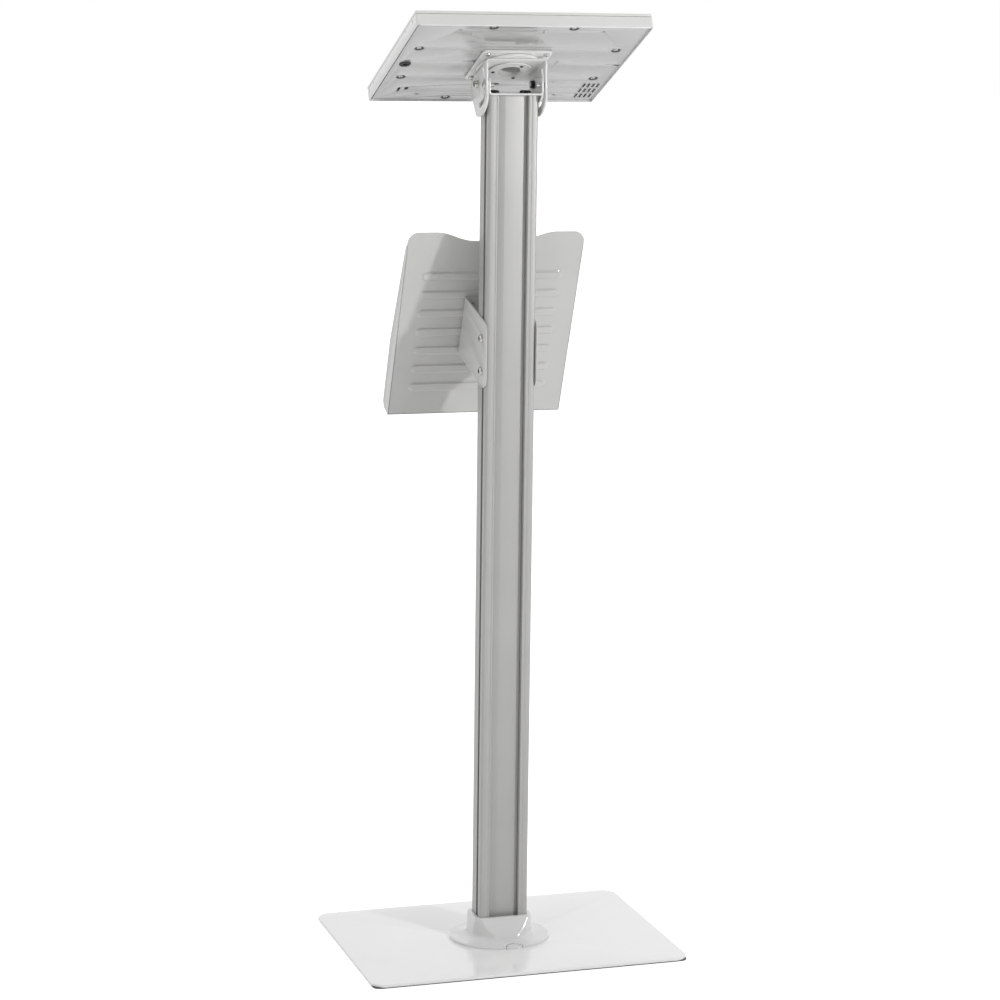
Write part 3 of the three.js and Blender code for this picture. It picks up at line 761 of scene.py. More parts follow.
@dataclass(frozen=True)
class Screw:
    """A screw whose head sits on the local origin and faces up.

    Attributes:
        head: Head radius.
        height: Head height.
        shank: Shank radius.
        length: Shank length.
        form: The head's form.
        drive: The recess in it.
        drive_size: The recess's size across.
        depth: The recess's depth.
    """

    head: float
    height: float
    shank: float
    length: float
    form: Head = Head.BUTTON
    drive: Drive = Drive.HEX
    drive_size: float = 4.0
    depth: float = 1.6

    def recess(self) -> Loop:
        """The outline of the drive's recess."""
        if self.drive is Drive.HEX:
            return circle(self.drive_size / math.sqrt(3), sides=6)
        long, thin = self.drive_size / 2, self.drive_size / 9
        arm = [(long, -thin), (long, thin), (thin, thin)]
        return [
            (x * c - y * s, x * s + y * c) for c, s in ((1, 0), (0, 1), (-1, 0), (0, -1)) for x, y in arm
        ]

    def crown(self) -> Loop:
        """The head's profile from its seat to the edge of its flat top."""
        r, h = self.head, self.height
        if self.form is Head.CAP:
            return [(r, 0.0), (r, h - 0.6), (r - 0.2, h - 0.2), (r - 0.7, h)]
        if self.form is Head.FLAT:
            return [(r, 0.0), (r, h - 0.3), (r - 0.3, h)]
        flat = max(self.drive_size * 0.62, r * 0.4)
        rise = [
            (flat + (r - flat) * math.cos(a), h * (0.25 + 0.75 * math.sin(a))) for a in (0, 0.4, 0.8, 1.2)
        ]
        return [(r, 0.0), *rise, (flat, h)]

    def solid(self, sides: int = 28) -> Solid:
        """Its mesh."""
        made = Solid()
        profile = [(0.0, -self.length), (self.shank, -self.length), (self.shank, 0.0), *self.crown()]
        made.lathe(profile, sides)
        top_radius, top = profile[-1]
        rim = circle(top_radius, sides=sides)
        hole = tidied(self.recess(), False)
        low = top - self.depth
        mouth, floor = (made.ring([(x, y, z) for x, y in hole]) for z in (top, low))
        made.cap([made.ring([(x, y, top) for x, y in rim]), mouth], [rim, hole])
        made.bridge(mouth, floor)
        made.cap([floor], [hole])
        return made


def ports(z: float, up: int = 1) -> list[Spot]:
    """The four screw ports of the column's section at a height."""
    return [Spot((x, y, z), (0, 0, up)) for y in (6.5, -6.5) for x in (20.5, -20.5)]


def both_sides(x: float, y: float, z: float) -> list[Spot]:
    """Two spots that face out on either side."""
    return [Spot((side * x, y, z), (side, 0, 0)) for side in (1, -1)]


def numbered(stem: str, count: int) -> list[str]:
    """Names with a running number."""
    return [f"{stem}_{i + 1}" for i in range(count)]


# ---- Sub-assemblies ------------------------------------------------------------------------------
@dataclass
class Foot:
    """The foot plate and the thin sheet under it."""

    width: float = 415
    depth: float = 297
    corner: float = 19
    pad_corner: float = 9
    pad_top: float = 1.5
    pad_inset: float = 1.5
    port_hole: float = 8
    top: float = 5
    seat_radius: float = 6

    def build(self) -> None:
        """Makes both pieces."""
        spots = [spot.at[:2] for spot in ports(0)]
        pad = Solid().slab(
            rounded_rect(self.width - 2 * self.pad_inset, self.depth - 2 * self.pad_inset, self.pad_corner),
            0, self.pad_top, [circle(self.port_hole, spot) for spot in spots], edge=0.15,
        )
        piece("foot_underlay", pad, Body.STAND, RUBBER, stands_for=["foot_pad"])
        plate = Solid().slab(
            rounded_rect(self.width, self.depth, self.corner, steps=14), self.pad_top, self.top,
            [circle(self.seat_radius, spot) for spot in spots], edge=0.7, steps=4,
        )
        for spot in spots:
            plate.lathe([(3.2, 3.3), (6, 3.3), (6, self.top), (3.2, self.top)], 24, True, spot)
        piece("foot_enamelled", plate, Body.STAND, ENAMEL, stands_for=["foot_plate"])


@dataclass
class Column:
    """The extruded column with its recess, side grooves and snap-in cover."""

    half_width: float = 32
    half_depth: float = 19
    corner: float = 5
    bottom: float = 5
    top: float = 1083
    recess_half: float = 19.5
    recess_floor: float = 10
    cover_half: float = 19.1
    cover_bottom: float = 30
    cover_back: float = 12.1
    ramp_from: float = 8.5
    ramp_drop: float = 0.8

    def build(self) -> None:
        """Makes the extrusion and the cover."""
        w, d = self.half_width, self.half_depth
        half = [
            (w, -d, self.corner), (w, 1.5, 0.5), (w - 1.8, 1.5, 0), (w - 1.8, 0, 0), (w - 5.5, 0, 0.3),
            (w - 5.5, 10, 0.3), (w - 1.8, 10, 0), (w - 1.8, 8.5, 0), (w, 8.5, 0.5), (w, d, self.corner),
            (24.4, d, 0.8), (23.8, d - 0.35, 0.5), (21.6, d - 0.35, 0.5), (21.1, d, 0.4),
            (self.recess_half, d, 0.7), (self.recess_half, self.recess_floor, 0.3),
            (14, self.recess_floor, 0.2), (14, 8, 0.2), (24.5, 8, 0.4), (24.5, -16.5, 0.6),
        ]
        profile = filleted(mirrored(half), 5)
        shaft = Solid().slab(profile, self.bottom, self.top, edge=0.12, steps=1)

        def in_groove(at: Vector) -> bool:
            """Whether a face lies inside a side groove, whose faces take painted shade."""
            return (w - 5.6) * MM < abs(at.x) < (w - 1.75) * MM and -0.1 * MM < at.y < 10.1 * MM

        # The side grooves' insides take a near black finish: painted shade.
        piece("column_extrusion", shaft, Body.STAND, ANODISED, stands_for=["column"],
              others=[(GROOVE_SHADE, in_groove)])

        floor, back, edge = self.recess_floor + 0.1, self.cover_back, self.cover_half
        section = filleted([
            (-edge, floor, 0.2), (edge, floor, 0.2), (edge, back - self.ramp_drop, 0.3),
            (self.ramp_from, back, 1.5), (-edge, back, 0.4),
        ])
        strip = Solid().slab(section, self.cover_bottom, self.top, edge=0.15, steps=1)
        piece("column_cover_strip", strip, Body.STAND, ANODISED, stands_for=["cable_cover"])


@dataclass
class Collar:
    """The moulded skirt round the column's foot, with a scored knock-out at the back for the cord."""

    base: float = 5
    top: float = 36.5
    flange: float = 65
    flange_thick: float = 3
    neck: float = 42.3
    flare: float = 8
    depth_scale: float = 0.91
    half_width: float = 38
    half_depth: float = 25
    side_slope: float = 0.12
    back_slope: float = 0.5
    blend: float = 2.2
    hole: tuple[float, float] = (64.8, 38.8)
    sides: int = 560
    score_depth: float = 0.9
    score_half: float = 0.8
    score_centre: float = -3
    score_span: float = 11.5
    score_reach: float = 13

    def round_radius(self, z: float) -> float:
        """Radius of the turned shape at a height, before the flats are cut."""
        edge = self.base + self.flange_thick
        if z <= edge:
            return self.flange - 1.2 * smoothstep((z - edge + 1.2) / 1.2)
        rise = min(1.0, (z - edge) / self.flare)
        return self.neck + (self.flange - 1.2 - self.neck) * (1 - math.sqrt(rise)) ** 2

    def radius(self, angle: float, z: float) -> float:
        """Distance of the outside from the axis in one direction."""
        c, s = abs(math.cos(angle)), abs(math.sin(angle))
        ellipse = self.round_radius(z) / math.hypot(c, s / self.depth_scale)
        drop = self.top - z
        flank = (self.half_width + self.side_slope * drop) / max(c, 1e-3)
        face = (self.half_depth + self.back_slope * drop) / max(s, 1e-3)
        smooth = ellipse
        for wall in (flank, face):
            share = smoothstep(0.5 + (wall - smooth) / (2 * self.blend))
            smooth = smooth * share + wall * (1 - share) - self.blend * 0.25 * 4 * share * (1 - share) * 0.5
        base = ellipse if z <= self.base + self.flange_thick else smooth
        rise = smoothstep((z - self.base - self.flange_thick) / 3)
        return base * rise + ellipse * (1 - rise)

    def scored(self, x: float, y: float) -> float:
        """Depth of the knock-out's score line at a point of the flange, seen from above."""
        if y < 0:
            return 0.0
        across, inward = (x - self.score_centre) / self.score_span, (self.flange * self.depth_scale + 2 - y)
        off = abs(math.hypot(across, inward / self.score_reach) - 1) * min(self.score_span, self.score_reach)
        return self.score_depth * (1 - smoothstep(off / self.score_half))

    def hole_radius(self, angle: float) -> float:
        """Distance of the column's hole from the axis in one direction."""
        c, s = max(abs(math.cos(angle)), 1e-4), max(abs(math.sin(angle)), 1e-4)
        power = 14
        return ((2 * c / self.hole[0]) ** power + (2 * s / self.hole[1]) ** power) ** (-1 / power)

    def build(self) -> None:
        """Makes the skirt as a closed ring."""
        angles = [2 * math.pi * k / self.sides for k in range(self.sides)]
        edge = self.base + self.flange_thick
        levels = [self.base + 0.01, *(self.base + 0.35 * k for k in range(1, 6))]
        levels += [edge - 1.2 + 0.2 * k for k in range(0, 7)]
        levels += [edge + self.flare * (1 - math.sqrt(1 - k / 44)) ** 2 for k in range(1, 45)]
        levels += [edge + 8.4 + k * (self.top - edge - 9.2) / 16 for k in range(17)]
        made = Solid()
        rows = []
        for z in sorted(set(round(level, 4) for level in levels)):
            row = []
            for angle in angles:
                r = self.radius(angle, z)
                x, y = r * math.cos(angle), r * math.sin(angle)
                cut = self.scored(x, y)
                below = cut if z > edge - 0.3 else 0.0
                r -= 0.0 if below else cut
                row.append((r * math.cos(angle), r * math.sin(angle), z - below))
            rows.append(made.ring(row))
        for drop, pull in ((0.35, 0.12), (0.1, 0.42), (0.0, 0.85)):
            reach = [self.radius(a, self.top) - pull for a in angles]
            height = self.top - drop
            rim = [(r * math.cos(a), r * math.sin(a), height) for r, a in zip(reach, angles)]
            rows.append(made.ring(rim))
        for z in (self.top, self.top - 0.4, edge, self.base + 0.01):
            reach = [self.hole_radius(a) + (0.3 if z == self.top else 0) for a in angles]
            rows.append(made.ring([(r * math.cos(a), r * math.sin(a), z) for r, a in zip(reach, angles)]))
        for under, over in zip(rows, rows[1:]):
            made.bridge(under, over)
        made.bridge(rows[-1], rows[0])

        def in_score(at: Vector) -> bool:
            """Whether a face lies in the knock-out's score line, which takes painted shade."""
            x, y, z = at / MM
            return self.scored(x, y) > 0.3 * self.score_depth and self.base + 0.5 < z < self.top - 5

        # The collar takes a darker copy of the white gloss, and its score line a near black one: painted
        # shade.
        piece("collar_moulding", made, Body.STAND, COLLAR, stands_for=["collar"], others=[(SCORE_SHADE, in_score)])


@dataclass
class HeadBracket:
    """The folded channel on top of the column that carries the tilt axis."""

    half_width: float = 35.2
    sheet: float = 2.3
    bend: float = 1.6
    front: float = -18
    back: float = 28
    floor: float = 1083
    top: float = 1104
    pivot: Point = (-4.5, 1095.5)
    lock: Point = (22, 1095.5)

    def build(self) -> None:
        """Makes the bracket from its flat blank."""
        line = self.half_width - self.sheet - self.bend
        length = (self.bend + self.sheet / 2) * math.pi / 2
        rise = self.floor + self.sheet + self.bend

        def across(z: float) -> float:
            """Where a height of the cheek lies on the blank."""
            return line + length + z - rise

        tip = across(self.top)
        outline = filleted([
            (tip, self.front, 8), (tip, self.back, 6), (-tip, self.back, 6), (-tip, self.front, 8),
        ], 6)
        holes = [rounded_rect(26, 18, 6, (0, -3))]
        holes += [circle(3.2, spot.at[:2], 20) for spot in ports(0)]
        for y, z in (self.pivot, self.lock):
            holes += [circle(3.2, (side * across(z), y), 20) for side in (1, -1)]
        made = Solid().slab(outline, self.floor, self.floor + self.sheet, holes, edge=0.35)
        faces = (self.floor, self.floor + self.sheet)
        made.fold(line, 1, self.bend, faces, 1).fold(-line, -1, self.bend, faces, 1)
        piece("head_bracket_sheet", made, Body.STAND, POWDER, stands_for=["head_bracket"])


@dataclass
class TiltFixings:
    """The nuts and washers on the tilt axis."""

    pivot: Point = (-4.5, 1095.5)
    nut: Point = (28.9, 33.1)
    nut_radius: float = 5.6
    washer: Point = (35.3, 36.5)
    washer_radius: float = 7
    bore: float = 3.05

    def build(self) -> None:
        """Makes both kinds on both sides."""
        nuts, washers = Solid(), Solid()
        hexagon = [(self.pivot[0] + x, self.pivot[1] + y) for x, y in circle(self.nut_radius, sides=6)]
        hole = circle(self.bore, self.pivot, 24)
        disc = circle(self.washer_radius, self.pivot, 40)
        for side in (1, -1):
            low, high = sorted(side * x for x in self.nut)
            nuts.slab(hexagon, low, high, [hole], 0.4, 2, ALONG_X)
            low, high = sorted(side * x for x in self.washer)
            washers.slab(disc, low, high, [hole], 0.2, 2, ALONG_X)
        sides = ("left", "right")
        piece("tilt_nuts", nuts, Body.STAND, BLACKED, stands_for=[f"pivot_nut_{s}" for s in sides])
        piece("tilt_washers", washers, Body.STAND, NYLON, stands_for=[f"friction_washer_{s}" for s in sides])


@dataclass
class Yoke:
    """The tilting channel between the bracket and the swivel."""

    half_width: float = 39.1
    sheet: float = 2.5
    bend: float = 1.8
    low: float = -28
    high: float = 41
    face: float = 17.2
    bore: float = 24.6
    bore_centre: float = 7.7
    tip: float = 40
    lock_radius: float = 26.5
    slot_half: float = 3.3
    slot_range: Point = (-95, 17)

    def build(self) -> None:
        """Makes the yoke from its flat blank."""
        line = self.half_width - self.sheet - self.bend
        length = (self.bend + self.sheet / 2) * math.pi / 2
        start = self.face - self.sheet - self.bend

        def on_blank(v: float, n: float, side: int = 1) -> Point:
            """Where a point of a cheek lies on the blank."""
            return (side * (line + length + start - n), v)

        near = [(self.low, start, 0), (-31, 8, 2), (-29.5, -10, 4)]
        far = [(v, n, 0) for v, n in arc((0, 0), self.tip, -125, -46, 14)]
        rest = [(34, -5, 5), (self.high, 11, 4), (self.high, start, 0)]
        right = [(*on_blank(v, n), r) for v, n, r in [*near, *far, *rest]]
        outline = filleted([*right, *((-x, v, r) for x, v, r in reversed(right))], 5)
        holes = [circle(self.bore, (0, self.bore_centre), 64)]
        a, b = self.slot_range
        turns = [math.radians(t) for t in (a, b)]
        ends = [(self.lock_radius * math.cos(t), self.lock_radius * math.sin(t)) for t in turns]
        ring = arc((0, 0), self.lock_radius + self.slot_half, a, b, 24)
        ring += arc(ends[1], self.slot_half, b, b + 180, 8)
        ring += arc((0, 0), self.lock_radius - self.slot_half, b, a, 24)
        ring += arc(ends[0], self.slot_half, a + 180, a + 360, 8)
        for side in (1, -1):
            holes.append([on_blank(v, n, side) for v, n in ring])
            holes.append([on_blank(v, n, side) for v, n in circle(3.2, sides=24)])
        faces = (self.face - self.sheet, self.face)
        made = Solid().slab(outline, *faces, holes, edge=0.4)
        made.fold(line, 1, self.bend, faces, -1, 6).fold(-line, -1, self.bend, faces, -1, 6)
        piece("yoke_sheet", made, Body.YOKE, POWDER, HEAD, ["tilt_yoke"])


@dataclass
class Swivel:
    """The turned disc and ring that let the display turn in its plane, and the square mounting plate."""

    radius: float = 41
    hub: float = 24.2
    ring_radius: float = 28
    bore: float = 14
    plate_half: float = 44.5
    pitch: float = 37.5

    def build(self) -> None:
        """Makes the three pieces."""
        bore, hub, rim = self.bore, self.hub, self.radius
        disc = [(bore, -7.1), (hub, -7.1), (hub, -4.3), (rim - 0.6, -4.3), (rim, -3.8), (rim, -1.6),
                (rim - 0.5, -1.1), (bore, -1.1)]
        turned = Solid().lathe(disc, 96, True)
        piece("swivel_disc_turned", turned, Body.DISPLAY, POWDER, PANEL, ["swivel_disc"])
        outer = self.ring_radius
        ring = [(bore + 3, -9), (outer - 0.5, -9), (outer, -8.6), (outer, -7.8), (outer - 0.4, -7.4),
                (bore, -7.4), (bore, -7.6), (bore + 2.6, -8.95)]
        retainer = Solid().lathe(ring, 96, True)
        piece("swivel_retainer", retainer, Body.DISPLAY, POWDER, PANEL, ["retaining_ring"])
        holes = [circle(2.3, (a * self.pitch, b * self.pitch), 20) for a in (1, -1) for b in (1, -1)]
        plate = Solid().slab(rounded_rect(2 * self.plate_half, 2 * self.plate_half, 5), -0.8, 1.9,
                             [*holes, circle(bore, sides=48)], edge=0.4, steps=3)
        piece("mounting_plate", plate, Body.DISPLAY, POWDER, PANEL, ["vesa_plate"])


@dataclass
class Display:
    """The display: its case with pressed details, bezel, glass and socket."""

    width: float = 298
    height: float = 241.5
    wall: float = 1.5
    case_front: float = 14.9
    rear: float = 2.2
    inner: float = 3.5
    seam: float = 2.7
    socket: Point = (131, -3.8)
    cable_hole: float = 12
    notch: Point = (3, 2.4)
    notch_depth: float = 1.6
    side_holes: tuple[tuple[float, float, float], ...] = (
        (104.6, 10.4, 4.5), (73.2, 11.3, 2.3), (-88.6, 11.6, 2.3), (-110.5, 10.9, 4.5),
    )
    screws: list[Point] = field(default_factory=lambda: [
        (a * x, b * y)
        for x, y in ((50.5, 110.5), (125.8, 45))
        for a, b in ((1, 1), (-1, 1), (-1, -1), (1, -1))
    ])

    def vents(self) -> list[Point]:
        """Centres of the ventilation slots."""
        return [(-121 - 6.2 * i, -68.6 - 16.8 * j) for i in range(4) for j in range(3)]

    def dish(self, radius: float, hole: float, depth: float) -> Solid:
        """A round pressed seat, rear side up, its rim at the panel's rear face."""
        thick = self.inner - self.rear
        upper = [(radius + 0.15, 0), (radius * 0.86, -0.12 * depth), (radius * 0.68, -0.8 * depth),
                 (radius * 0.58, -depth), (hole, -depth)]
        lower = [(r, z - thick * 0.85) for r, z in reversed(upper)]
        return Solid().lathe(upper + lower, 24, True)

    def pressed(self) -> list[bpy.types.Mesh]:
        """The repeated pressed details of the rear panel, as meshes in metres."""
        back = (0, 0, -1)
        level = self.rear
        seats = [Spot((x, y, level), back) for x, y in self.screws]
        small = [Spot((a * 90.5, b * 101, level), back) for a in (1, -1) for b in (1, -1)]
        rims = [Spot((x, y, level), back) for x, y in self.vents()]
        stud = Solid().lathe([(0, -0.4), (2.3, -0.4), (2.3, 0.2), (1.9, 0.75), (1.0, 1.0), (0, 1.05)], 20)
        lip = Solid().slab(slot(4.0, 13.8, (0, 0)), -0.3, 0.28, [slot(2.8, 12.6, (0, 0))], edge=0.12)
        studs = [Spot((x, y, level), back) for x, y in ((72, 89), (-17, 98))]
        return [
            placed(self.dish(6, 1.7, 1.7), seats, CASE, PANEL),
            placed(self.dish(3.1, 1.4, 1.2), small, CASE, PANEL),
            placed(lip, rims, CASE, PANEL),
            placed(stud, studs, CASE, PANEL),
        ]

    def case(self) -> None:
        """Makes the rear case: the folded rim, the recessed panel and its details."""
        w, h, wall = self.width, self.height, self.wall
        made = Solid()
        hollow = rounded_rect(w - 2 * wall, h - 2 * wall, 1.6)
        made.slab(rounded_rect(w, h, 3), 0, self.case_front, [hollow], edge=1.3, steps=4, hole_edge=0.1)
        cutter = Solid()
        for v, n, long in self.side_holes:
            hole = slot(2.2, long, (v, n))
            cutter.slab(hole, w / 2 - wall - 1, w / 2 + 1, edge=0.0, steps=1, placing=ALONG_X)
        for side in (1, -1):
            notch = rounded_rect(*self.notch, 0.4, (side * (w / 2 - 3.6), h / 2 - 1.5))
            cutter.slab(notch, -1, self.notch_depth, edge=0.0, steps=1)
        made.carved(cutter)
        left, right = w / 2 - wall - self.seam, -(w / 2 - wall + 0.05)
        top, bottom = h / 2 - wall + 0.05, -(h / 2 - wall + 0.05)
        sheet = filleted([(right, bottom, 0), (left, bottom, 2), (left, top, 3), (right, top, 3)])
        holes = [circle(6, spot, 24) for spot in self.screws]
        holes += [circle(3.1, (a * 90.5, b * 101), 24) for a in (1, -1) for b in (1, -1)]
        holes += [slot(2.8, 12.6, spot) for spot in self.vents()]
        holes += [slot(8, 3.2, (-142.2, -2.2)), slot(3.4, 13, (118.4, -86)), slot(4.6, 8, (109, -82.5)),
                  slot(13, 5, (-1, -65.7)), circle(7.3, self.socket, 40)]
        holes += [circle(2.2, (a * 37.5, b * 37.5), 16) for a in (1, -1) for b in (1, -1)]
        holes += [circle(self.cable_hole, sides=40)]
        holes += [slot(4.6, 0.9, (-76.5, -58.2)), slot(4.6, 0.9, (-76.5, -60.8))]
        made.slab(sheet, self.rear, self.inner, holes, edge=0.25)
        made.slab(slot(19, 4.2, (0, 63.6)), self.rear - 0.9, self.rear + 0.2, edge=0.7, steps=3)
        made.slab(rounded_rect(16, 4.5, 0.8, (0, h / 2 - 4)), self.rear - 1.4, self.rear + 0.2, edge=0.4)
        curve = [(-62.2, 8.7), (-61.2, 2.5), (-60.8, -4.5), (-61.0, -13.8)]
        ridge = [(x - 0.55, y) for x, y in curve] + [(x + 0.55, y) for x, y in reversed(curve)]
        made.slab(ridge, self.rear - 0.35, self.rear + 0.2, edge=0.2)
        to_panel = PANEL.inverted()

        def in_rim(at: Vector) -> bool:
            """Whether a face belongs to the folded rim, which keeps about the plain white rather than the
            panel's painted shade.
            """
            spot = to_panel @ at
            return abs(spot.x) > w / 2 - wall - 0.2 or abs(spot.y) > h / 2 - wall - 0.2

        def in_seat(at: Vector) -> bool:
            """Whether a face lies on the steep wall of a screw's pressed seat, which takes painted shade."""
            spot = to_panel @ at
            off = min(math.hypot(spot.x - x, spot.y - y) for x, y in self.screws)
            return spot.z < self.inner + 0.5 and 3.4 < off < 5.7 and spot.z > self.rear + 0.05

        # The panel takes a much darker copy of the white coat than the rim, and the seat walls a near black
        # one: painted shade.
        piece("display_case", made, Body.DISPLAY, CASE, PANEL, ["rear_case"], self.pressed(),
              [(RIM, in_rim), (SEAT_SHADE, in_seat)])

    def front(self) -> None:
        """Makes the bezel, the cover glass and the socket."""
        bezel = Solid().slab(rounded_rect(self.width, self.height, 3, steps=8), 15.2, 18.6,
                             [rounded_rect(249, 187.5, 1)], edge=0.8, steps=4)
        piece("bezel_frame", bezel, Body.DISPLAY, RIM, PANEL, ["front_bezel"])
        glass = Solid().slab(rounded_rect(272, 208, 2), 12.2, 14.9, edge=0.3)
        piece("cover_glass", glass, Body.DISPLAY, GLASS, PANEL, ["touch_glass"])
        profile = [(0, 2.4), (1.0, 2.5), (1.1, 5.6), (3.1, 5.6), (3.1, 2.0), (3.6, 1.5), (4.6, 1.5),
                   (4.9, 2.1), (5.3, 2.1), (5.6, 1.2), (6.6, 1.2), (7, 1.6), (7, 6.8), (0, 6.8)]
        barrel = Solid().lathe(profile, 48, centre=self.socket)
        piece("socket_barrel", barrel, Body.DISPLAY, NYLON, PANEL, ["power_socket"])

    def build(self) -> None:
        """Makes all of the display."""
        self.case()
        self.front()


@dataclass
class Tray:
    """The leaning leaflet tray with pressed ribs."""

    half: float = 116.5
    bottom: float = -170.5
    top: float = TRAY_TOP
    dip: float = 12
    corner: float = 14
    sheet: float = TRAY_SHEET
    ribs: int = 7
    pitch: float = 26.3
    rib_top: float = 27.7
    rib_half: float = 93
    rib_height: float = 6
    proud: float = 2.3
    shoulder: float = 1.9
    tuck: float = 0.25

    def edge(self, x: float) -> float:
        """Height of the top edge, which dips between two raised shoulders."""
        across = abs(x)
        start = self.half - self.corner
        if across > start:
            fall = math.sqrt(max(0.0, self.corner**2 - (across - start) ** 2))
            return self.top - self.corner + fall
        return self.top - self.dip * (1 - smoothstep((across - 30) / 48))

    def relief(self, x: float, s: float) -> float:
        """How far the sheet is pressed to the back at a point."""
        best = 0.0
        for i in range(self.ribs):
            centre = self.rib_top - i * self.pitch
            if abs(s - centre) > self.rib_height:
                continue
            end = max(0.0, abs(x) - (self.rib_half - self.rib_height))
            depth = self.rib_height - math.hypot(end, s - centre)
            best = max(best, self.proud * smoothstep(depth / self.shoulder))
        return best

    def columns(self) -> list[float]:
        """Positions of the mesh's columns, close together at the ribs' ends and the corners."""
        right = [6.0 * k for k in range(1, 14)] + [80 + 1.2 * k for k in range(14)]
        right += [98, 100, 102.5, 105, 107.5, 110, 112, 113.6, 114.9, 115.8, 116.3, self.half]
        return [-x for x in reversed(right)] + [0.0] + right

    def back(self, made: Solid) -> None:
        """Adds the pressed back sheet."""
        columns, straight, rise = self.columns(), 58.0, 12
        count = round((straight - self.bottom) / 1.2)
        faces: dict[int, list[list]] = {0: [], 1: []}
        for x in columns:
            rows = [self.bottom + (straight - self.bottom) * k / count for k in range(count + 1)]
            rows += [straight + (self.edge(x) - straight) * k / rise for k in range(1, rise + 1)]
            heights = [self.relief(x, s) for s in rows]
            x *= 1 - self.tuck / self.half
            rows[0] += self.tuck
            faces[0].append(made.ring([(x, s, -h) for s, h in zip(rows, heights)]))
            faces[1].append(made.ring([(x, s, self.sheet - h) for s, h in zip(rows, heights)]))
        for rows in faces.values():
            for first, second in zip(rows, rows[1:]):
                made.bridge(first, second, closed=False)
        rear, front = faces[0], faces[1]
        made.bridge(rear[0], front[0], closed=False)
        made.bridge(rear[-1], front[-1], closed=False)
        made.bridge([row[0] for row in rear], [row[0] for row in front], closed=False)
        made.bridge([row[-1] for row in rear], [row[-1] for row in front], closed=False)

    def build(self) -> None:
        """Makes the tray."""
        made = Solid()
        self.back(made)
        low = self.bottom
        wall = filleted([(low, 0, 0), (72, 0, 0), (68, 6, 5), (-75, 27, 12), (low + 7, 27, 2), (low, 20, 2)])
        for side in (1, -1):
            near, far = sorted((side * (self.half - self.sheet), side * self.half))
            made.slab(wall, near, far, edge=0.35, placing=ALONG_X)
        lip = filleted([
            (low, 0, 0), (low, 20.8, 2.5), (low + 6.2, 27, 2.5), (low + 42, 27, 0.5), (low + 42, 25.5, 0.5),
            (low + 6.8, 25.5, 2), (low + self.sheet, 20.2, 2), (low + self.sheet, 0, 0),
        ])
        made.slab(lip, -self.half + 0.2, self.half - 0.2, edge=0.2, placing=ALONG_X)
        # The tray takes the darker copy of the white coat: painted shade.
        piece("leaflet_tray", made, Body.STAND, SHEET, POCKET, ["brochure_tray"])


@dataclass
class Arm:
    """The folded channel that holds the tray to the column's side grooves."""

    half_width: float = 34
    sheet: float = 1.7
    bend: float = 1.6
    web_front: float = -2.5
    web_bottom: float = -79.6
    cheek: tuple[tuple[float, float, float], ...] = (
        (12, 805.5, 3), (19, 802, 4), (23, 797, 5), (23, 730, 5), (19, 724, 4), (11, 721, 3),
    )
    screws: tuple[Point, ...] = ((5, 741.5), (5, 782.5))
    taps: tuple[float, float] = (-10.6, -63.2)

    def build(self) -> None:
        """Makes the arm from its flat blank."""
        origin = tray_origin() / MM
        line = self.half_width - self.sheet - self.bend
        length = (self.bend + self.sheet / 2) * math.pi / 2
        rear = self.web_front - self.sheet
        start = rear - self.bend
        sine, cosine = math.sin(TRAY_LEAN), math.cos(TRAY_LEAN)

        def on_blank(y: float, z: float, side: int = 1) -> Point:
            """Where a point of a cheek lies on the blank."""
            dy, dz = y - origin.y, z - origin.z
            return (side * (line + length + start - (dz * sine - dy * cosine)), dy * sine + dz * cosine)

        right = [(line + length, 0.0, 1.0), *((*on_blank(y, z), r) for y, z, r in self.cheek)]
        right.append((line + length, self.web_bottom, 1.0))
        outline = filleted([*right, *((-x, s, r) for x, s, r in reversed(right))], 5)
        holes = [circle(2.2, (side * 22, s), 16) for side in (1, -1) for s in self.taps]
        holes += [
            [on_blank(y + a, z + b, side) for a, b in circle(3.2, sides=20)]
            for y, z in self.screws for side in (1, -1)
        ]
        faces = (rear, self.web_front)
        made = Solid().slab(outline, *faces, holes, edge=0.35)
        made.fold(line, 1, self.bend, faces, -1).fold(-line, -1, self.bend, faces, -1)
        # The arm takes the darker copy of the white coat: painted shade.
        piece("tray_arm_sheet", made, Body.STAND, SHEET, POCKET, ["tray_arm"])


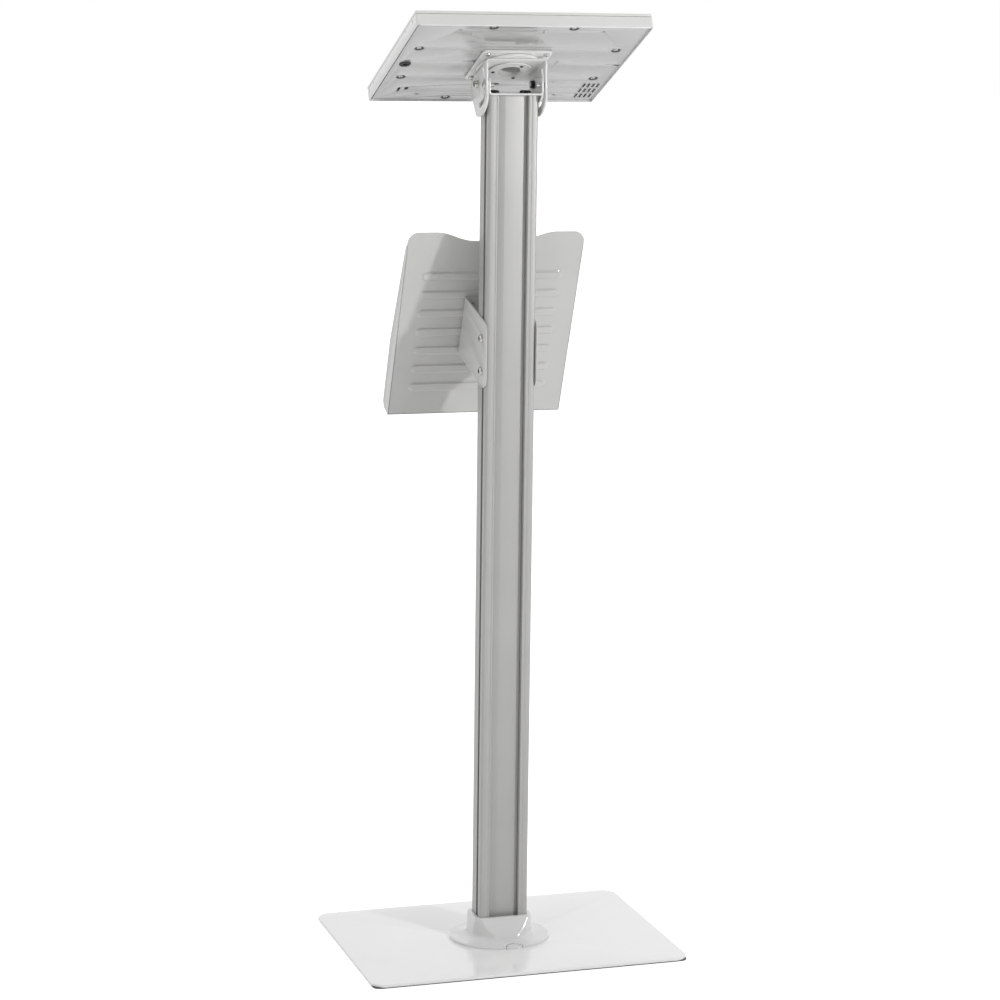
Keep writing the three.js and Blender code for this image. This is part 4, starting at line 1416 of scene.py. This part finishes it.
@dataclass
class Fasteners:
    """All the screws, one mesh for each body and finish."""

    seat: float = 1085.35
    pivot_y: float = -4.5
    lock_y: float = 22
    axis_z: float = 1095.5
    yoke_side: float = 39.3
    arm_levels: Point = (741.5, 782.5)

    def build(self) -> None:
        """Places the screws of the stand and of the display."""
        m6 = Screw(5.25, 3.3, 2.9, 20, drive_size=4, depth=2.4)
        arm = Screw(5.25, 3.3, 2.9, 6.6, drive_size=4.6, depth=2.9)
        pivot = Screw(4.9, 5.2, 2.9, 11.5, Head.CAP, drive_size=5, depth=2.6)
        lock = Screw(4.6, 2.2, 2.9, 11.5, drive_size=3.5, depth=1.2)
        foot = Screw(5.6, 1.6, 2.9, 22, Head.FLAT, drive_size=4, depth=1.1)
        tray = Screw(3.6, 2.0, 1.9, 7.6, drive=Drive.CROSS, drive_size=3.6, depth=1.1)
        arm_spots = [spot for z in self.arm_levels for spot in both_sides(34.1, 5, z)]
        tray_spots = [Spot((x, s, 1.6), (0, 0, 1)) for x in (22, -22) for s in (-10.6, -63.2)]
        pivot_spots, lock_spots = (
            both_sides(self.yoke_side, y, self.axis_z) for y in (self.pivot_y, self.lock_y)
        )
        bright = [
            placed(pivot.solid(), pivot_spots, ZINC, spin=1, seed=3),
            placed(lock.solid(), lock_spots, ZINC, spin=1, seed=5),
            placed(arm.solid(), arm_spots, ZINC, spin=1, seed=11),
            placed(foot.solid(), ports(3.2, -1), ZINC, spin=1, seed=13),
            placed(tray.solid(), tray_spots, ZINC, POCKET, 3, 17),
        ]
        sides = ("left", "right")
        names = [f"pivot_bolt_{s}" for s in sides] + [f"lock_screw_{s}" for s in sides]
        names += [f"arm_screw_{s}_{i}" for s in sides for i in (1, 2)]
        names += numbered("foot_screw", 4) + numbered("tray_screw", 4)

        def in_socket(at: Vector) -> bool:
            """Whether a face lies in the socket of an arm screw, which takes painted shade."""
            off = min(math.hypot(at.y / MM - 5, at.z / MM - z) for z in self.arm_levels)
            return off < 2.9 and 34.4 * MM < abs(at.x) < 36.9 * MM

        # The arm screws' drive recesses take a near black finish: painted shade.
        piece("stand_bright_screws", Solid(), Body.STAND, ZINC, stands_for=names, extra=bright,
              others=[(SOCKET, in_socket)])
        dark = [placed(m6.solid(), ports(self.seat), BLACKED, spin=1, seed=19)]
        piece("stand_black_screws", Solid(), Body.STAND, BLACKED, stands_for=numbered("head_screw", 4),
              extra=dark)

        plate = Screw(3.7, 2.2, 1.9, 5, drive=Drive.CROSS, drive_size=4, depth=1.2)
        case = Screw(3.2, 1.5, 1.5, 3.0, drive=Drive.CROSS, drive_size=3.2, depth=0.8)
        ring = Screw(2.2, 0.8, 1.5, 6, drive=Drive.HEX, drive_size=1.8, depth=0.5)
        back = (0, 0, -1)
        plate_spots = [Spot((a * 37.5, b * 37.5, -0.9), back) for a in (1, -1) for b in (1, -1)]
        case_spots = [Spot((x, y, 3.85), back) for x, y in Display().screws]
        turns = [2 * math.pi * i / 3 for i in range(3)]
        ring_spots = [Spot((21 * math.cos(t), 21 * math.sin(t), -9.1), back) for t in turns]
        bright = [
            placed(plate.solid(), plate_spots, ZINC, PANEL, 3, 23),
            placed(case.solid(), case_spots, ZINC, PANEL, 3, 29),
        ]
        names = numbered("vesa_screw", 4) + numbered("case_screw", 8)
        piece("display_bright_screws", Solid(), Body.DISPLAY, ZINC, stands_for=names, extra=bright)
        dark = [placed(ring.solid(), ring_spots, BLACKED, PANEL, 1, 31)]
        piece("display_black_screws", Solid(), Body.DISPLAY, BLACKED, stands_for=numbered("ring_screw", 3),
              extra=dark)


@dataclass
class Hidden:
    """The CAD nodes that stay as they are, inside the display and the grooves."""

    finishes: dict[str, Finish] = field(default_factory=lambda: {
        "lcd_module": MODULE, "controller_board": BOARD, "nut_bar_left": ZINC, "nut_bar_right": ZINC,
    })

    def build(self) -> None:
        """Gives each one its finish."""
        for name, finish in self.finishes.items():
            node = frame["nodes"][name]
            node.data.materials.clear()
            node.data.materials.append(finish.material())


# ---- Studio --------------------------------------------------------------------------------------
@dataclass
class Studio:
    """Floor, world, lights and camera."""

    camera_at: tuple[float, float, float] = (1.05584, 3.30828, 1.15188)
    yaw: float = -17.61
    pitch: float = 9.41
    roll: float = 0.71
    lens: float = 100.36
    reach: float = 60
    front_light: float = 1.0
    back_light: float = 0.27
    fade: tuple[float, float] = (-0.05, 0.7)
    floor_lift: float = 0.5

    def build(self) -> None:
        """Sets up everything round the object."""
        self.floor()
        self.world()
        self.lights()
        self.camera()
        view = bpy.context.scene.view_settings
        view.view_transform = "Standard"
        view.look = "None"

    def floor(self) -> None:
        """A plain pale floor."""
        mesh = bpy.data.meshes.new("floor")
        corners = [(a * self.reach, b * self.reach, 0) for a, b in ((-1, -1), (1, -1), (1, 1), (-1, 1))]
        mesh.from_pydata(corners, [], [(0, 1, 2, 3)])
        floor = bpy.data.objects.new("studio_floor", mesh)
        bpy.context.scene.collection.objects.link(floor)
        paint = bpy.data.materials.new("studio_white")
        paint.use_nodes = True
        shader = paint.node_tree.nodes["Principled BSDF"]
        shader.inputs["Base Color"].default_value = (0.93, 0.93, 0.93, 1)
        shader.inputs["Roughness"].default_value = 0.9
        shader.inputs["Emission Color"].default_value = (1, 1, 1, 1)
        path = paint.node_tree.nodes.new("ShaderNodeLightPath")
        glow = paint.node_tree.nodes.new("ShaderNodeMath")
        glow.operation = "MULTIPLY"
        glow.inputs[1].default_value = self.floor_lift
        paint.node_tree.links.new(path.outputs["Is Camera Ray"], glow.inputs[0])
        paint.node_tree.links.new(glow.outputs["Value"], shader.inputs["Emission Strength"])
        mesh.materials.append(paint)

    def world(self) -> None:
        """A white room, darker on the camera's side."""
        world = bpy.data.worlds.new("studio_world")
        bpy.context.scene.world = world
        world.use_nodes = True
        tree = world.node_tree
        tree.nodes.clear()
        add, wire = tree.nodes.new, tree.links.new
        place = add("ShaderNodeTexCoord")
        split = add("ShaderNodeSeparateXYZ")
        span = add("ShaderNodeMapRange")
        wire(place.outputs["Generated"], split.inputs["Vector"])
        wire(split.outputs["Y"], span.inputs["Value"])
        span.inputs["From Min"].default_value, span.inputs["From Max"].default_value = self.fade
        span.inputs["To Min"].default_value = self.front_light
        span.inputs["To Max"].default_value = self.back_light
        light, seen = (add("ShaderNodeBackground") for _ in range(2))
        path = add("ShaderNodeLightPath")
        wire(span.outputs["Result"], light.inputs["Strength"])
        mix, output = add("ShaderNodeMixShader"), add("ShaderNodeOutputWorld")
        wire(path.outputs["Is Camera Ray"], mix.inputs["Fac"])
        wire(light.outputs["Background"], mix.inputs[1])
        wire(seen.outputs["Background"], mix.inputs[2])
        light.inputs["Color"].default_value = (1, 1, 1, 1)
        seen.inputs["Color"].default_value = (1, 1, 1, 1)
        wire(mix.outputs["Shader"], output.inputs["Surface"])

    def lights(self) -> None:
        """A key from behind the kiosk's right, and a weaker fill."""
        self.area("key", (-1.7, 2.6, 1.35), (0, 0, 0.8), 0.18, 38)
        self.area("fill", (2.4, 1.2, 1.9), (0, 0, 0.6), 0.9, 6)

    def area(self, name: str, at: tuple, target: tuple, size: float, power: float) -> None:
        """Adds a square soft light.

        Args:
            name: Its name.
            at: Where it stands.
            target: What it points at.
            size: Its side.
            power: Its power in watts.
        """
        lamp = bpy.data.lights.new(name, "AREA")
        lamp.shape = "SQUARE"
        lamp.size = size
        lamp.energy = power
        holder = bpy.data.objects.new(name, lamp)
        holder.location = at
        holder.rotation_euler = (Vector(target) - Vector(at)).to_track_quat("-Z", "Y").to_euler()
        bpy.context.scene.collection.objects.link(holder)

    def camera(self) -> None:
        """The camera behind the kiosk, a little to its left and above."""
        yaw, pitch, roll = (math.radians(a) for a in (self.yaw, self.pitch, self.roll))
        ahead = Vector((math.sin(yaw) * math.cos(pitch), -math.cos(yaw) * math.cos(pitch), -math.sin(pitch)))
        across = ahead.cross(Vector((0, 0, 1))).normalized()
        upward = across.cross(ahead)
        right = across * math.cos(roll) + upward * math.sin(roll)
        up = upward * math.cos(roll) - across * math.sin(roll)
        lens = bpy.data.cameras.new("camera")
        lens.lens = self.lens
        lens.sensor_width = 36
        lens.clip_end = self.reach
        holder = bpy.data.objects.new("camera", lens)
        turn = Matrix((right, up, -ahead)).transposed().to_4x4()
        holder.matrix_world = Matrix.Translation(self.camera_at) @ turn
        bpy.context.scene.collection.objects.link(holder)
        bpy.context.scene.camera = holder


def main() -> None:
    """Builds the sub-assemblies in order, then the studio."""
    logging.basicConfig(level=logging.INFO, format="%(name)s %(message)s")
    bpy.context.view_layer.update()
    builders: list[Callable[[], None]] = [
        Foot().build, Column().build, Collar().build, HeadBracket().build, TiltFixings().build, Yoke().build,
        Swivel().build, Display().build, Tray().build, Arm().build, Fasteners().build, Hidden().build,
        Studio().build,
    ]
    for build in builders:
        build()


if __name__ == "__main__":
    main()
